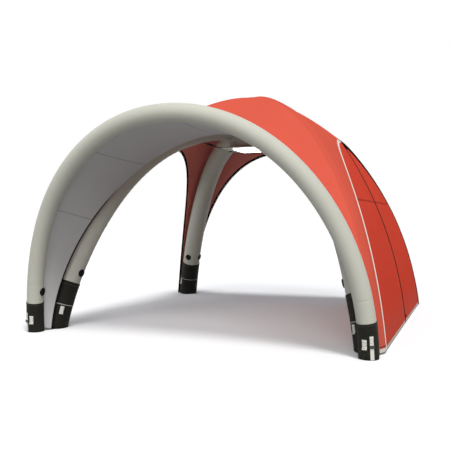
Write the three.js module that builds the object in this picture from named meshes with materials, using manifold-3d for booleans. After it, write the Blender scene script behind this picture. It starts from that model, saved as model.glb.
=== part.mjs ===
// Inflatable event tent: four air legs meeting at a crown, a draped canopy with an arched opening on
// each side, a zipped wall in one opening and a tunnel porch on its own air arch.
// Millimetres, +Z up, porch towards -Y, wall on +X, origin on the ground under the middle of the whole.
import * as THREE from "three";
import { mergeVertices } from "three/addons/utils/BufferGeometryUtils.js";
import Module from "manifold-3d";

const wasm = await Module();
wasm.setup();

// ---- Clearances and fabric ----
const gap = 0.3; // between pieces that touch
const seamGap = 0.6; // between a sewn edge and its piping
const runningGap = 0.5; // between a sliding piece and its track
const canopyThickness = 5;
const wallThickness = 5;
const porchThickness = 5;
const hemHeight = 12; // lowest edge of every sheet above the ground
const pipingRadius = 6;

// ---- Air legs of the tent ----
const footHalfSpan = 2000; // tent axis to each foot centre, along X and along Y
const legHeight = 2704; // top of a leg's middle line
const legRadius = 150;
const legLine = { halfWidth: footHalfSpan * Math.SQRT2, height: legHeight, acrossPower: 2.68, upPower: 1.27 };
const bootWall = 6;
const bootHeight = 598;

// ---- Crown ----
const crownDrop = 134; // underside of the crown's panel below the legs' undersides
const crownPanelBottom = legHeight - legRadius - crownDrop;
const crownPanelSide = 750;
const crownPanelThickness = 12;
const crownRadius = 400;
const crownFootRadius = crownRadius - 70;
const legHiddenEnd = crownRadius / 2; // a leg runs on to this distance from the tent axis, in the crown
const peakRadius = 50; // flat top of the crown that carries the canopy
const lampSide = 450;
const lampThickness = 18;

// ---- Canopy ----
const peakRise = 326; // canopy's peak above the legs' tops
const ridgeClearance = 44; // canopy's corner outside the leg's foot
const canopyPeak = legHeight + legRadius + peakRise;
const ridgeFoot = footHalfSpan * Math.SQRT2 + legRadius + ridgeClearance;
const ridgeLine = { halfWidth: ridgeFoot, height: canopyPeak, acrossPower: 1.91, upPower: 1.52 };
const peakPatchRadius = 60; // flat patch sewn in at the peak
const peakRoundness = 0.25; // share of the slope between peak and opening that is rounded
const openingHalfWidth = footHalfSpan - 69; // an opening's edge comes down beside the leg's middle
const openingHeight = legHeight - 215;
const openingLine = { halfWidth: openingHalfWidth, height: openingHeight, acrossPower: 1.91, upPower: 1.8 };
const openingClearance = 23; // foot of an opening's edge outside the leg
const openingFootDepth = footHalfSpan + legRadius + openingClearance;
const openingTopDepth = footHalfSpan - 714; // tent axis to the top of each opening's edge
const openingBulge = 169; // how far the opening's edge bows out from a straight line

// ---- Side wall and its zip ----
const zipTapeWidth = 24;
const zipTapeProud = 1; // the tape stands out of the wall by this much
const zipTapeThickness = 4;
const zipTopMargin = 110; // end of the zip below the opening's top
const wallTopWidth = 25; // width of each wall half where it ends at the top
const sliderHeight = 110; // zip slider above the ground when the zip is closed

// ---- Porch ----
const porchRadius = 100;
const porchHalfWidth = footHalfSpan + 51; // the arch stands a little wider than the legs
const porchHeight = openingHeight + 29;
const porchLine = { halfWidth: porchHalfWidth, height: porchHeight, acrossPower: 2.04, upPower: 2.11 };
const porchFootGap = 60; // between the opening's edge and the porch arch, along Y
const porchFootDepth = openingFootDepth + porchRadius + porchFootGap; // tent axis to the arch's feet
const porchTopLean = 468; // the arch's top leans this much further out than its feet
const porchLeanPower = 1.37;
const porchBootWall = 5;
const porchBootHeight = 373;

// ---- Valves ----
const valveHeight = 735;
const porchValveHeight = 513;
const porchValveFacing = 100; // degrees from straight to the front, turned towards +X
const valveRadius = 50;
const valveProud = 10; // the valve's rim stands off the air tube by this much
const valveDepth = 22; // full depth of the valve's body before it is fitted to the tube
const capRadius = 38;
const capThickness = 7;
const capGripWidth = 9;
const capGripHeight = 6;
const poppetRadius = 19;
const poppetThickness = 9;
const poppetRecess = 6;

// ---- Webbing at the feet ----
const webbingWidth = 50;
const webbingThickness = 4;
const legWebbingTop = 290;
const porchWebbingTop = 215;
const webbingLength = 95;
const eyeletRadius = 8.5;
const eyeletBore = 4.4;
const ringWire = 5;
const ringDrop = 38;
const anchorStrapTop = 250;
const anchorStrapFoot = 8;
const buckleHeight = 145;
const porchRingFacing = 12; // degrees from straight to the front, turned towards the tent's middle
const anchorFacing = 28; // degrees from straight to the front, turned away from the tent's middle

const colours = {
  airTube: { color: 0xc9cabf, roughness: 0.6, metalness: 0 },
  porchFabric: { color: 0xc4c4bc, roughness: 0.7, metalness: 0 },
  boot: { color: 0x23221c, roughness: 0.75, metalness: 0 },
  canopy: { color: 0xe2563f, roughness: 0.7, metalness: 0 },
  wall: { color: 0xd0432f, roughness: 0.7, metalness: 0 },
  blackTrim: { color: 0x141414, roughness: 0.6, metalness: 0 },
  whiteTrim: { color: 0xf0ece6, roughness: 0.6, metalness: 0 },
  plastic: { color: 0x101010, roughness: 0.4, metalness: 0 },
  webbing: { color: 0xe6e4dc, roughness: 0.8, metalness: 0 },
  lamp: { color: 0xffffff, roughness: 0.4, metalness: 0 },
};

// ---- Fineness of the model ----
const tubeSides = 16;
const bootSteps = 5;
const canopyPeakRows = 6; // rows of the sheet between the peak and the openings' tops
const edgeRows = 14; // rows from an opening's top to the ground, shared by all that follows its edge
const canopyColumns = 4;

// ---- Shared geometry ----

// A point of a superellipse arch at an angle: 0 is its foot, a quarter turn is its top.
function archPoint(line, angle) {
  const across = Math.cos(angle);
  const up = Math.max(Math.sin(angle), 0);
  return {
    across: Math.sign(across) * line.halfWidth * Math.abs(across) ** (2 / line.acrossPower),
    up: line.height * up ** (2 / line.upPower),
  };
}

// The angle at which a superellipse arch reaches a height.
function angleAtHeight(line, height) {
  return Math.asin((height / line.height) ** (line.upPower / 2));
}

function angleAtAcross(line, across) {
  return Math.acos((across / line.halfWidth) ** (line.acrossPower / 2));
}

function toSolid(geometry) {
  const bare = geometry.clone();
  bare.deleteAttribute("normal");
  bare.deleteAttribute("uv");
  const merged = mergeVertices(bare, 1e-3);
  const mesh = new wasm.Mesh({
    numProp: 3,
    vertProperties: Float32Array.from(merged.getAttribute("position").array),
    triVerts: Uint32Array.from(merged.getIndex().array),
  });
  return new wasm.Manifold(mesh);
}

function toGeometry(solid) {
  const mesh = solid.getMesh();
  const geometry = new THREE.BufferGeometry();
  geometry.setAttribute("position", new THREE.BufferAttribute(mesh.vertProperties, 3));
  geometry.setIndex(new THREE.BufferAttribute(mesh.triVerts, 1));
  geometry.computeVertexNormals();
  return geometry;
}

function moved(geometry, x, y, z) {
  return geometry.clone().translate(x, y, z);
}

function piece(name, geometry, finish) {
  const mesh = new THREE.Mesh(geometry, new THREE.MeshStandardMaterial(finish));
  mesh.name = name;
  return mesh;
}

function tubeGeometry(curve, radius, steps, sides) {
  const section = new THREE.Shape();
  section.absarc(0, 0, radius, 0, 2 * Math.PI);
  return new THREE.ExtrudeGeometry(section, { steps, extrudePath: curve, curveSegments: sides / 2 });
}

// What is left of a solid above a height.
function above(solid, height) {
  const reach = 8000;
  const cutter = new THREE.BoxGeometry(reach, reach, reach);
  return solid.subtract(toSolid(moved(cutter, 0, 0, height - reach / 2)));
}

// A closed sheet of a given thickness from one or more grids of points on its outer face.
function sheetGeometry(grids, thickness) {
  const corners = [];
  for (const grid of grids) {
    for (let i = 0; i + 1 < grid.length; i += 1) {
      for (let j = 0; j + 1 < grid[i].length; j += 1) {
        const [a, b, c, d] = [grid[i][j], grid[i + 1][j], grid[i + 1][j + 1], grid[i][j + 1]];
        for (const triangle of [[a, b, c], [a, c, d]]) {
          const area = new THREE.Triangle(...triangle).getArea();
          if (area > 1e-3) {
            corners.push(...triangle);
          }
        }
      }
    }
  }
  const loose = new THREE.BufferGeometry().setFromPoints(corners);
  const outer = mergeVertices(loose, 1e-2);
  outer.computeVertexNormals();
  const place = outer.getAttribute("position");
  const normal = outer.getAttribute("normal");
  const faces = Array.from(outer.getIndex().array);
  const count = place.count;
  const points = [];
  for (const depth of [0, thickness]) {
    for (let i = 0; i < count; i += 1) {
      const point = new THREE.Vector3().fromBufferAttribute(place, i);
      points.push(point.addScaledVector(new THREE.Vector3().fromBufferAttribute(normal, i), -depth));
    }
  }
  const edges = new Set();
  for (let i = 0; i < faces.length; i += 3) {
    for (let k = 0; k < 3; k += 1) {
      edges.add(`${faces[i + k]},${faces[i + ((k + 1) % 3)]}`);
    }
  }
  const triangles = [...faces];
  for (let i = 0; i < faces.length; i += 3) {
    triangles.push(faces[i] + count, faces[i + 2] + count, faces[i + 1] + count);
  }
  for (const edge of edges) {
    const [from, to] = edge.split(",").map(Number);
    if (!edges.has(`${to},${from}`)) {
      triangles.push(from, from + count, to + count, from, to + count, to);
    }
  }
  const geometry = new THREE.BufferGeometry().setFromPoints(points);
  geometry.setIndex(triangles);
  geometry.computeVertexNormals();
  return geometry;
}

// ---- Lines that several pieces share ----

// The edge of every opening lies on an upright drum whose radius follows from its bow.
const openingChord = Math.hypot(openingFootDepth - openingTopDepth, openingLine.height);
const drumRadius = openingChord ** 2 / (8 * openingBulge) + openingBulge / 2;
const drumTilt = Math.atan2(openingFootDepth - openingTopDepth, openingLine.height);
const drumCentre = {
  depth: (openingFootDepth + openingTopDepth) / 2 - (drumRadius - openingBulge) * Math.cos(drumTilt),
  up: openingLine.height / 2 - (drumRadius - openingBulge) * Math.sin(drumTilt),
};

function openingDepth(up) {
  return drumCentre.depth + Math.sqrt(drumRadius ** 2 - (up - drumCentre.up) ** 2);
}

// A point of the opening on the +X side, moved in from its edge by an inset.
function openingPoint(angle, inset) {
  const step = 1e-3;
  const point = archPoint(openingLine, angle);
  const before = archPoint(openingLine, Math.max(angle - step, 0));
  const after = archPoint(openingLine, Math.min(angle + step, Math.PI));
  const run = new THREE.Vector2(after.across - before.across, after.up - before.up).normalize();
  const across = point.across - run.y * inset;
  const up = point.up + run.x * inset;
  return new THREE.Vector3(openingDepth(up), across, up);
}

function turnedAboutAxis(point, quarterTurns) {
  return point.clone().applyAxisAngle(new THREE.Vector3(0, 0, 1), (quarterTurns * Math.PI) / 2);
}

const legCorners = [
  { name: "front_left", x: -1, y: -1 },
  { name: "front_right", x: 1, y: -1 },
  { name: "back_left", x: -1, y: 1 },
  { name: "back_right", x: 1, y: 1 },
];

// The middle line of an air leg, straight for a little below the ground so that it can be cut flat.
function legCurve(corner, topAngle) {
  const steps = 24;
  const points = [];
  const below = 60;
  for (const depth of [below, below / 2]) {
    const foot = legLine.halfWidth / Math.SQRT2;
    points.push(new THREE.Vector3(corner.x * foot, corner.y * foot, -depth));
  }
  for (let i = 0; i <= steps; i += 1) {
    const { across, up } = archPoint(legLine, (i / steps) * topAngle);
    points.push(new THREE.Vector3((corner.x * across) / Math.SQRT2, (corner.y * across) / Math.SQRT2, up));
  }
  return new THREE.CatmullRomCurve3(points);
}

function porchPoint(angle) {
  const { across, up } = archPoint(porchLine, angle);
  const lean = porchTopLean * (up / porchLine.height) ** porchLeanPower;
  return new THREE.Vector3(across, -porchFootDepth - lean, up);
}

// The middle line of the porch arch between two angles, with straight ends below the ground.
function porchCurve(from, to, steps) {
  const points = [];
  for (let i = 0; i <= steps; i += 1) {
    points.push(porchPoint(from + ((to - from) * i) / steps));
  }
  const below = 60;
  if (from === 0) {
    points.unshift(points[0].clone().setZ(-below / 2));
    points.unshift(points[0].clone().setZ(-below));
  }
  if (to === Math.PI) {
    points.push(points.at(-1).clone().setZ(-below / 2));
    points.push(points.at(-1).clone().setZ(-below));
  }
  return new THREE.CatmullRomCurve3(points);
}

// A frame on an air tube: its origin lies on the middle line at a height, its X axis points out of the
// tube towards a compass direction and its Z axis runs up the tube.
function tubeFrame(pointAt, height, facing) {
  const here = pointAt(height);
  const along = pointAt(height + 1).sub(pointAt(height - 1)).normalize();
  const out = facing.clone().addScaledVector(along, -facing.dot(along)).normalize();
  const side = new THREE.Vector3().crossVectors(along, out);
  return new THREE.Matrix4().makeBasis(out, side, along).setPosition(here);
}

function legPointAtHeight(corner) {
  return (height) => {
    const { across } = archPoint(legLine, angleAtHeight(legLine, height));
    return new THREE.Vector3((corner.x * across) / Math.SQRT2, (corner.y * across) / Math.SQRT2, height);
  };
}

function porchPointAtHeight(side) {
  return (height) => {
    const point = porchPoint(angleAtHeight(porchLine, height));
    return point.setX(side * point.x);
  };
}

function placed(frame, ...meshes) {
  const group = new THREE.Group();
  group.applyMatrix4(frame);
  group.add(...meshes);
  return group;
}

// ---- Crown ----

function crownSolid(grow) {
  const top = canopyPeak - canopyThickness - gap + grow;
  const bottom = crownPanelBottom + crownPanelThickness + gap - grow;
  const rise = top - bottom;
  const profile = [
    [0, 0],
    [crownFootRadius, 0],
    [crownRadius - 15, rise * 0.22],
    [crownRadius, rise * 0.42],
    [crownRadius - 25, rise * 0.6],
    [crownRadius - 80, rise * 0.76],
    [crownRadius - 170, rise * 0.885],
    [peakRadius + 80, rise * 0.955],
    [peakRadius, rise],
    [0, rise],
  ];
  const points = profile.map(([r, z]) => new THREE.Vector2(r === 0 ? 0 : r + grow, bottom + z));
  const geometry = new THREE.LatheGeometry(points, 32).rotateX(Math.PI / 2);
  return toSolid(geometry);
}

function crownPieces() {
  const panel = new THREE.BoxGeometry(crownPanelSide, crownPanelSide, crownPanelThickness);
  const lamp = new THREE.BoxGeometry(lampSide, lampSide, lampThickness);
  const panelMesh = piece("crown_panel", panel, colours.airTube);
  panelMesh.position.z = crownPanelBottom + crownPanelThickness / 2;
  const lampMesh = piece("lamp_panel", lamp, colours.lamp);
  lampMesh.position.z = crownPanelBottom - gap - lampThickness / 2;
  return [piece("crown_chamber", toGeometry(crownSolid(0)), colours.airTube), panelMesh, lampMesh];
}

// ---- Legs ----

const legTopAngle = angleAtAcross(legLine, legHiddenEnd);
const bootTopAngle = angleAtHeight(legLine, bootHeight);

function legTube(corner, radius) {
  return toSolid(tubeGeometry(legCurve(corner, legTopAngle), radius, 16, tubeSides));
}

function bootTube(corner, radius) {
  return toSolid(tubeGeometry(legCurve(corner, bootTopAngle), radius, bootSteps, tubeSides));
}

function legPieces(corner) {
  const leg = above(legTube(corner, legRadius), bootWall + gap).subtract(crownSolid(gap));
  const sleeve = above(bootTube(corner, legRadius + gap + bootWall), 0);
  const boot = sleeve.subtract(above(legTube(corner, legRadius + gap), bootWall));
  return [
    piece(`leg_${corner.name}`, toGeometry(leg), colours.airTube),
    piece(`boot_${corner.name}`, toGeometry(boot), colours.boot),
  ];
}

// ---- Canopy ----

const legSamples = Array.from({ length: 81 }, (_, i) => {
  const { across, up } = archPoint(legLine, (i / 80) * (Math.PI / 2));
  return new THREE.Vector3(across / Math.SQRT2, across / Math.SQRT2, up);
});

// Moves a point of the sheet out until it clears the leg under it.
function drapedOverLeg(point) {
  const reach = legRadius + gap + bootWall + canopyThickness + 6;
  const nearest = new THREE.Vector3();
  let least = Infinity;
  for (let i = 0; i + 1 < legSamples.length; i += 1) {
    const spot = new THREE.Line3(legSamples[i], legSamples[i + 1]).closestPointToPoint(
      point, true, new THREE.Vector3());
    const distance = spot.distanceTo(point);
    if (distance < least) {
      least = distance;
      nearest.copy(spot);
    }
  }
  if (least < reach) {
    point.sub(nearest).setLength(reach).add(nearest);
  }
  return point;
}

const canopyRows = canopyPeakRows + edgeRows;
const openingStart = canopyPeakRows / canopyRows; // share of the way down at which an opening begins
const hemAngle = angleAtHeight(openingLine, hemHeight);

// A point of the sheet between a ridge (across 0) and the middle of the +X side (across 1),
// from the peak (down 0) to the ground (down 1).
function canopyPoint(down, across) {
  const lowest = angleAtHeight(ridgeLine, hemHeight);
  const ridge = archPoint(ridgeLine, Math.PI / 2 + (lowest - Math.PI / 2) * down);
  const ridgePoint = new THREE.Vector3(ridge.across / Math.SQRT2, ridge.across / Math.SQRT2, ridge.up);
  let middle;
  if (down <= openingStart) {
    const share = down / openingStart;
    const round = peakRoundness;
    const fall = (Math.hypot(share, round) - round) / (Math.hypot(1, round) - round);
    const height = canopyPeak - (canopyPeak - openingLine.height) * fall;
    middle = new THREE.Vector3(openingTopDepth * share, 0, height);
  } else {
    const share = (down - openingStart) / (1 - openingStart);
    middle = openingPoint(Math.PI / 2 + (hemAngle - Math.PI / 2) * share, 0);
  }
  const ease = 2 - Math.max(0, (down - openingStart) / (1 - openingStart));
  const weight = 1 - (1 - across) ** ease;
  return new THREE.Vector3(
    THREE.MathUtils.lerp(ridgePoint.x, middle.x, weight),
    THREE.MathUtils.lerp(ridgePoint.y, middle.y, across),
    THREE.MathUtils.lerp(ridgePoint.z, middle.z, weight),
  );
}

function canopyGrid(turn, mirrored) {
  const grid = [];
  for (let i = 0; i <= canopyRows; i += 1) {
    const row = [];
    for (let j = 0; j <= canopyColumns; j += 1) {
      const point = canopyPoint(i / canopyRows, j / canopyColumns);
      const flat = Math.hypot(point.x, point.y);
      if (flat < peakPatchRadius && i > 0) {
        throw new Error("the first row of the canopy lies inside its peak patch");
      }
      drapedOverLeg(point);
      if (mirrored) {
        point.y = -point.y;
      }
      row.push(turnedAboutAxis(point, turn));
    }
    grid.push(mirrored ? row : row.reverse());
  }
  const rim = grid[1].map((point) => {
    const patch = point.clone().setZ(0).setLength(peakPatchRadius);
    return patch.setZ(canopyPeak);
  });
  grid.splice(1, 0, rim);
  return grid;
}

function canopyPiece() {
  const grids = [];
  for (let turn = 0; turn < 4; turn += 1) {
    grids.push(canopyGrid(turn, false), canopyGrid(turn, true));
  }
  return piece("canopy", sheetGeometry(grids, canopyThickness), colours.canopy);
}

// ---- Piping round the openings ----

const pipingInset = pipingRadius + seamGap;
const pipingSides = 6;

// The edge of an opening, with its points spread by angle so that they match the sheet's corners.
class OpeningCurve extends THREE.Curve {
  constructor(inset, quarterTurns) {
    super();
    this.inset = inset;
    this.quarterTurns = quarterTurns;
  }

  getPoint(share) {
    const angle = hemAngle + (Math.PI - 2 * hemAngle) * share;
    return turnedAboutAxis(openingPoint(angle, this.inset), this.quarterTurns);
  }

  getPointAt(share) {
    return this.getPoint(share);
  }

  getTangentAt(share) {
    return this.getTangent(share);
  }
}

function pipingPiece(name, quarterTurns, finish) {
  const curve = new OpeningCurve(pipingInset, quarterTurns);
  return piece(name, tubeGeometry(curve, pipingRadius, 2 * edgeRows, pipingSides), finish);
}

// ---- Side wall ----

const wallInset = 2 * (pipingRadius + seamGap);
const zipHalf = zipTapeWidth / 2;

function wallGrid(side) {
  const inner = zipHalf + gap;
  const narrowest = inner + wallTopWidth;
  const columns = 4;
  const grid = [];
  let last = null;
  for (let i = 0; i <= edgeRows; i += 1) {
    const edge = openingPoint(hemAngle + ((Math.PI / 2 - hemAngle) * i) / edgeRows, wallInset);
    if (edge.y < narrowest) {
      edge.lerpVectors(last, edge, (last.y - narrowest) / (last.y - edge.y));
    }
    const row = [];
    for (let j = 0; j <= columns; j += 1) {
      row.push(new THREE.Vector3(edge.x, side * THREE.MathUtils.lerp(inner, edge.y, j / columns), edge.z));
    }
    grid.push(side > 0 ? row.reverse() : row);
    if (edge.y <= narrowest + gap) {
      break;
    }
    last = edge;
  }
  return grid;
}

// The angle of a height on the drum that the wall follows, from the drum's own centre.
function drumAngle(up) {
  return Math.asin((up - drumCentre.up) / drumRadius);
}

// A band that follows the wall's curve between two heights, its thickness along the drum's radius.
function drumBand(innerRadius, outerRadius, from, to, width) {
  const shape = new THREE.Shape();
  shape.absarc(0, 0, outerRadius, drumAngle(from), drumAngle(to), false);
  shape.absarc(0, 0, innerRadius, drumAngle(to), drumAngle(from), true);
  const band = new THREE.ExtrudeGeometry(shape, { depth: width, bevelEnabled: false, curveSegments: 20 });
  band.translate(0, 0, -width / 2).rotateX(Math.PI / 2);
  return band.translate(drumCentre.depth, 0, drumCentre.up);
}

// A frame on the wall's middle line at a height: X out of the wall, Z up along it.
function wallFrame(up) {
  const angle = drumAngle(up);
  const out = new THREE.Vector3(Math.cos(angle), 0, Math.sin(angle));
  const along = new THREE.Vector3(-Math.sin(angle), 0, Math.cos(angle));
  const place = new THREE.Vector3(drumCentre.depth, 0, drumCentre.up).addScaledVector(out, drumRadius);
  return new THREE.Matrix4().makeBasis(out, new THREE.Vector3(0, 1, 0), along).setPosition(place);
}

// Hangs a loop plumb from its bar, as far as the face behind it lets it.
function hangPlumb(mesh, frame, mostInward) {
  const down = new THREE.Vector3(0, 0, -1).transformDirection(frame.clone().invert());
  const outward = Math.atan2(down.x, -down.z);
  mesh.rotation.y = -Math.max(outward, -mostInward);
}

// A rod along Y with its middle at a place.
function crossRod(radius, length, x, z) {
  return toSolid(moved(new THREE.CylinderGeometry(radius, radius, length, 16), x, 0, z));
}

// A flat loop hanging from a bar along Y: the bar's middle is at the origin.
function loopGeometry(innerWidth, wire, drop) {
  const half = innerWidth / 2 + wire;
  const outline = new THREE.Shape();
  outline.moveTo(-half, wire / 2);
  outline.lineTo(-half, -drop * 0.45);
  outline.quadraticCurveTo(-half, -drop, 0, -drop);
  outline.quadraticCurveTo(half, -drop, half, -drop * 0.45);
  outline.lineTo(half, wire / 2);
  outline.closePath();
  const inside = half - wire;
  const hole = new THREE.Path();
  hole.moveTo(-inside, -wire / 2);
  hole.lineTo(inside, -wire / 2);
  hole.lineTo(inside, -drop * 0.45);
  hole.quadraticCurveTo(inside, -drop + wire, 0, -drop + wire);
  hole.quadraticCurveTo(-inside, -drop + wire, -inside, -drop * 0.45);
  hole.closePath();
  outline.holes.push(hole);
  const loop = new THREE.ExtrudeGeometry(outline, { depth: wire, bevelEnabled: false, curveSegments: 5 });
  return loop.translate(0, 0, -wire / 2).rotateX(Math.PI / 2).rotateZ(Math.PI / 2);
}

function zipPieces() {
  const tapeTop = openingLine.height - zipTopMargin;
  const inner = drumRadius + zipTapeProud - zipTapeThickness;
  const outer = drumRadius + zipTapeProud;
  const tape = drumBand(inner, outer, hemHeight, tapeTop, zipTapeWidth);
  const slider = { width: 26, length: 42, depth: 7, bossRadius: 5, bossBore: 3, bossWidth: 12 };
  const back = zipTapeProud + runningGap;
  const bossPlace = back + slider.depth + slider.bossRadius - 1;
  const body = new THREE.BoxGeometry(slider.depth, slider.width, slider.length);
  const sliderSolid = toSolid(moved(body, back + slider.depth / 2, 0, 0))
    .add(crossRod(slider.bossRadius, slider.bossWidth, bossPlace, 0))
    .subtract(crossRod(slider.bossBore, slider.width * 2, bossPlace, 0));
  const frame = wallFrame(sliderHeight);
  const puller = { innerWidth: slider.bossWidth + 2, wire: 3.4, drop: 44 };
  const room = slider.bossRadius - 1 - puller.wire / 2 - gap; // behind the puller, to the slider's face
  const mostInward = Math.asin(room / (slider.length / 2));
  const loop = loopGeometry(puller.innerWidth, puller.wire, puller.drop);
  const pullerMesh = piece("zip_puller", loop, colours.plastic);
  pullerMesh.position.x = bossPlace;
  hangPlumb(pullerMesh, frame, mostInward);
  return [
    piece("zip_tape", tape, colours.blackTrim),
    placed(frame, piece("zip_slider", toGeometry(sliderSolid), colours.plastic), pullerMesh),
  ];
}

function wallPieces() {
  return [
    piece("wall_front_half", sheetGeometry([wallGrid(-1)], wallThickness), colours.wall),
    piece("wall_back_half", sheetGeometry([wallGrid(1)], wallThickness), colours.wall),
    ...zipPieces(),
  ];
}

// ---- Porch ----

const porchSteps = 36;
const porchSides = 14;

function porchTube(radius) {
  return toSolid(tubeGeometry(porchCurve(0, Math.PI, porchSteps), radius, porchSteps, porchSides));
}

function porchBootPiece(name, side) {
  const top = angleAtHeight(porchLine, porchBootHeight);
  const curve = side > 0 ? porchCurve(0, top, bootSteps) : porchCurve(Math.PI - top, Math.PI, bootSteps);
  const outer = toSolid(tubeGeometry(curve, porchRadius + gap + porchBootWall, bootSteps, porchSides));
  const boot = above(outer, 0).subtract(above(porchTube(porchRadius + gap), porchBootWall));
  return piece(name, toGeometry(boot), colours.boot);
}

// The porch cover runs from the arch to the piping of the front opening.
function porchCover() {
  const columns = 5;
  const shares = Array.from({ length: 2 * edgeRows + 1 }, (_, i) => i / (2 * edgeRows));
  const edge = new OpeningCurve(pipingInset, 3);
  const grid = shares.map((share) => {
    const front = porchPoint(hemAngle + (Math.PI - 2 * hemAngle) * share);
    front.z = Math.max(front.z, hemHeight);
    const back = edge.getPoint(share);
    const run = front.clone().sub(back);
    back.addScaledVector(run.normalize(), pipingRadius + seamGap);
    return Array.from({ length: columns + 1 }, (_, j) => back.clone().lerp(front, j / columns));
  });
  const sheet = toSolid(sheetGeometry([grid], porchThickness));
  const bootReach = porchRadius + 2 * gap + porchBootWall;
  let cover = sheet.subtract(porchTube(porchRadius + gap));
  for (const ends of [[0, angleAtHeight(porchLine, porchBootHeight)],
    [Math.PI - angleAtHeight(porchLine, porchBootHeight), Math.PI]]) {
    cover = cover.subtract(toSolid(tubeGeometry(porchCurve(...ends, bootSteps), bootReach, bootSteps, porchSides)));
  }
  const parts = cover.decompose().sort((a, b) => b.volume() - a.volume());
  return piece("porch_cover", toGeometry(parts[0]), colours.porchFabric);
}

function porchPieces() {
  const tube = above(porchTube(porchRadius), porchBootWall + gap);
  return [
    piece("porch_arch", toGeometry(tube), colours.airTube),
    porchBootPiece("porch_boot_left", -1),
    porchBootPiece("porch_boot_right", 1),
    porchCover(),
  ];
}

// ---- Valves ----

// A disc along local X whose outer face is at a distance from the origin.
function disc(radius, thickness, outerFace, sides) {
  const cylinder = new THREE.CylinderGeometry(radius, radius, thickness, sides).rotateZ(-Math.PI / 2);
  return moved(cylinder, outerFace - thickness / 2, 0, 0);
}

function valveBodySolid(frame, tube, face, recessRadius) {
  const fitted = tube.transform(frame.clone().invert().elements);
  const body = toSolid(disc(valveRadius, valveDepth, face, 20)).subtract(fitted);
  return body.subtract(toSolid(disc(recessRadius, 2 * poppetRecess, face + poppetRecess, 20)));
}

// An inflation valve: a welded flange with a shallow seat and a quarter-turn cap.
function inflationValve(name, frame, tube, radius) {
  const face = radius + valveProud;
  const body = valveBodySolid(frame, tube, face, capRadius + runningGap);
  const bottom = face - poppetRecess + gap;
  const grip = new THREE.BoxGeometry(capGripHeight, capGripWidth, capRadius * 1.5);
  const cap = toSolid(disc(capRadius, capThickness, bottom + capThickness, 20))
    .add(toSolid(moved(grip, bottom + capThickness + capGripHeight / 2 - 1, 0, 0)));
  return placed(
    frame,
    piece(`valve_body_${name}`, toGeometry(body), colours.plastic),
    piece(`valve_cap_${name}`, toGeometry(cap), colours.plastic),
  );
}

// A relief valve: the same flange round a sprung plunger that lifts when the pressure is too high.
function reliefValve(name, frame, tube, radius) {
  const face = radius + valveProud;
  const body = valveBodySolid(frame, tube, face, poppetRadius + runningGap);
  const poppet = disc(poppetRadius, poppetThickness, face - poppetRecess + gap + poppetThickness, 20);
  return placed(
    frame,
    piece(`relief_body_${name}`, toGeometry(body), colours.plastic),
    piece(`relief_plunger_${name}`, poppet, colours.plastic),
  );
}

function legValves(corner) {
  const pointAt = legPointAtHeight(corner);
  const tube = legTube(corner, legRadius + gap);
  const alongX = tubeFrame(pointAt, valveHeight, new THREE.Vector3(-corner.x, 0, 0));
  const alongY = tubeFrame(pointAt, valveHeight, new THREE.Vector3(0, -corner.y, 0));
  return [
    inflationValve(corner.name, alongX, tube, legRadius),
    reliefValve(corner.name, alongY, tube, legRadius),
  ];
}

function porchValve() {
  const frame = tubeFrame(porchPointAtHeight(-1), porchValveHeight, direction(porchValveFacing));
  return inflationValve("porch", frame, porchTube(porchRadius + gap), porchRadius);
}

// ---- Webbing, rings and anchor straps ----

function direction(degreesFromFront) {
  const angle = THREE.MathUtils.degToRad(degreesFromFront);
  return new THREE.Vector3(Math.sin(angle), -Math.cos(angle), 0);
}

// A webbing tab with a hanging ring on a boot. The tab's back follows the boot.
function ringTab(name, pointAt, top, facing, bootSolid, bootRadius) {
  const eyeletUp = top - webbingLength;
  const frame = tubeFrame(pointAt, eyeletUp, facing);
  const boot = bootSolid.transform(frame.clone().invert().elements);
  const face = bootRadius + webbingThickness;
  const sunk = 12;
  const plate = new THREE.BoxGeometry(webbingThickness + sunk, webbingWidth, webbingLength);
  const eyelet = bootRadius + eyeletRadius + 1;
  const tab = toSolid(moved(plate, face - (webbingThickness + sunk) / 2, 0, webbingLength / 2))
    .add(crossRod(eyeletRadius, webbingWidth, eyelet, 0))
    .subtract(boot)
    .subtract(crossRod(eyeletBore, webbingWidth * 2, eyelet, 0));
  const ring = piece(`ring_${name}`, loopGeometry(webbingWidth + 2, ringWire, ringDrop), colours.plastic);
  ring.position.x = eyelet;
  hangPlumb(ring, frame, 0);
  return placed(frame, piece(`webbing_${name}`, toGeometry(tab), colours.webbing), ring);
}

// A flat strap down to the ground with a cam buckle on it.
function anchorStrap(name, pointAt, facing, bootSolid, bootRadius) {
  const frame = tubeFrame(pointAt, buckleHeight, facing);
  const boot = bootSolid.transform(frame.clone().invert().elements);
  const length = anchorStrapTop - anchorStrapFoot;
  const sunk = 12;
  const width = webbingWidth * 0.8;
  const middle = (anchorStrapTop + anchorStrapFoot) / 2 - buckleHeight;
  const plate = new THREE.BoxGeometry(webbingThickness + sunk, width, length);
  const strap = toSolid(moved(plate, bootRadius + (webbingThickness - sunk) / 2, 0, middle)).subtract(boot);
  const buckle = { width: width + 14, length: 30, depth: 8, camRadius: 6 };
  const front = bootRadius + webbingThickness + gap;
  const plateSolid = new THREE.BoxGeometry(buckle.depth, buckle.width, buckle.length);
  const cam = toSolid(moved(plateSolid, front + buckle.depth / 2, 0, 0))
    .add(crossRod(buckle.camRadius, width, front + buckle.depth, 0));
  return placed(
    frame,
    piece(`anchor_strap_${name}`, toGeometry(strap), colours.webbing),
    piece(`anchor_buckle_${name}`, toGeometry(cam), colours.plastic),
  );
}

const ringFacing = { front_left: 46, front_right: -46, back_left: -45, back_right: 45 };

function legWebbing(corner) {
  const radius = legRadius + gap + bootWall;
  const boot = bootTube(corner, radius + gap);
  const facing = direction(ringFacing[corner.name]);
  return ringTab(corner.name, legPointAtHeight(corner), legWebbingTop, facing, boot, radius + gap);
}

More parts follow.
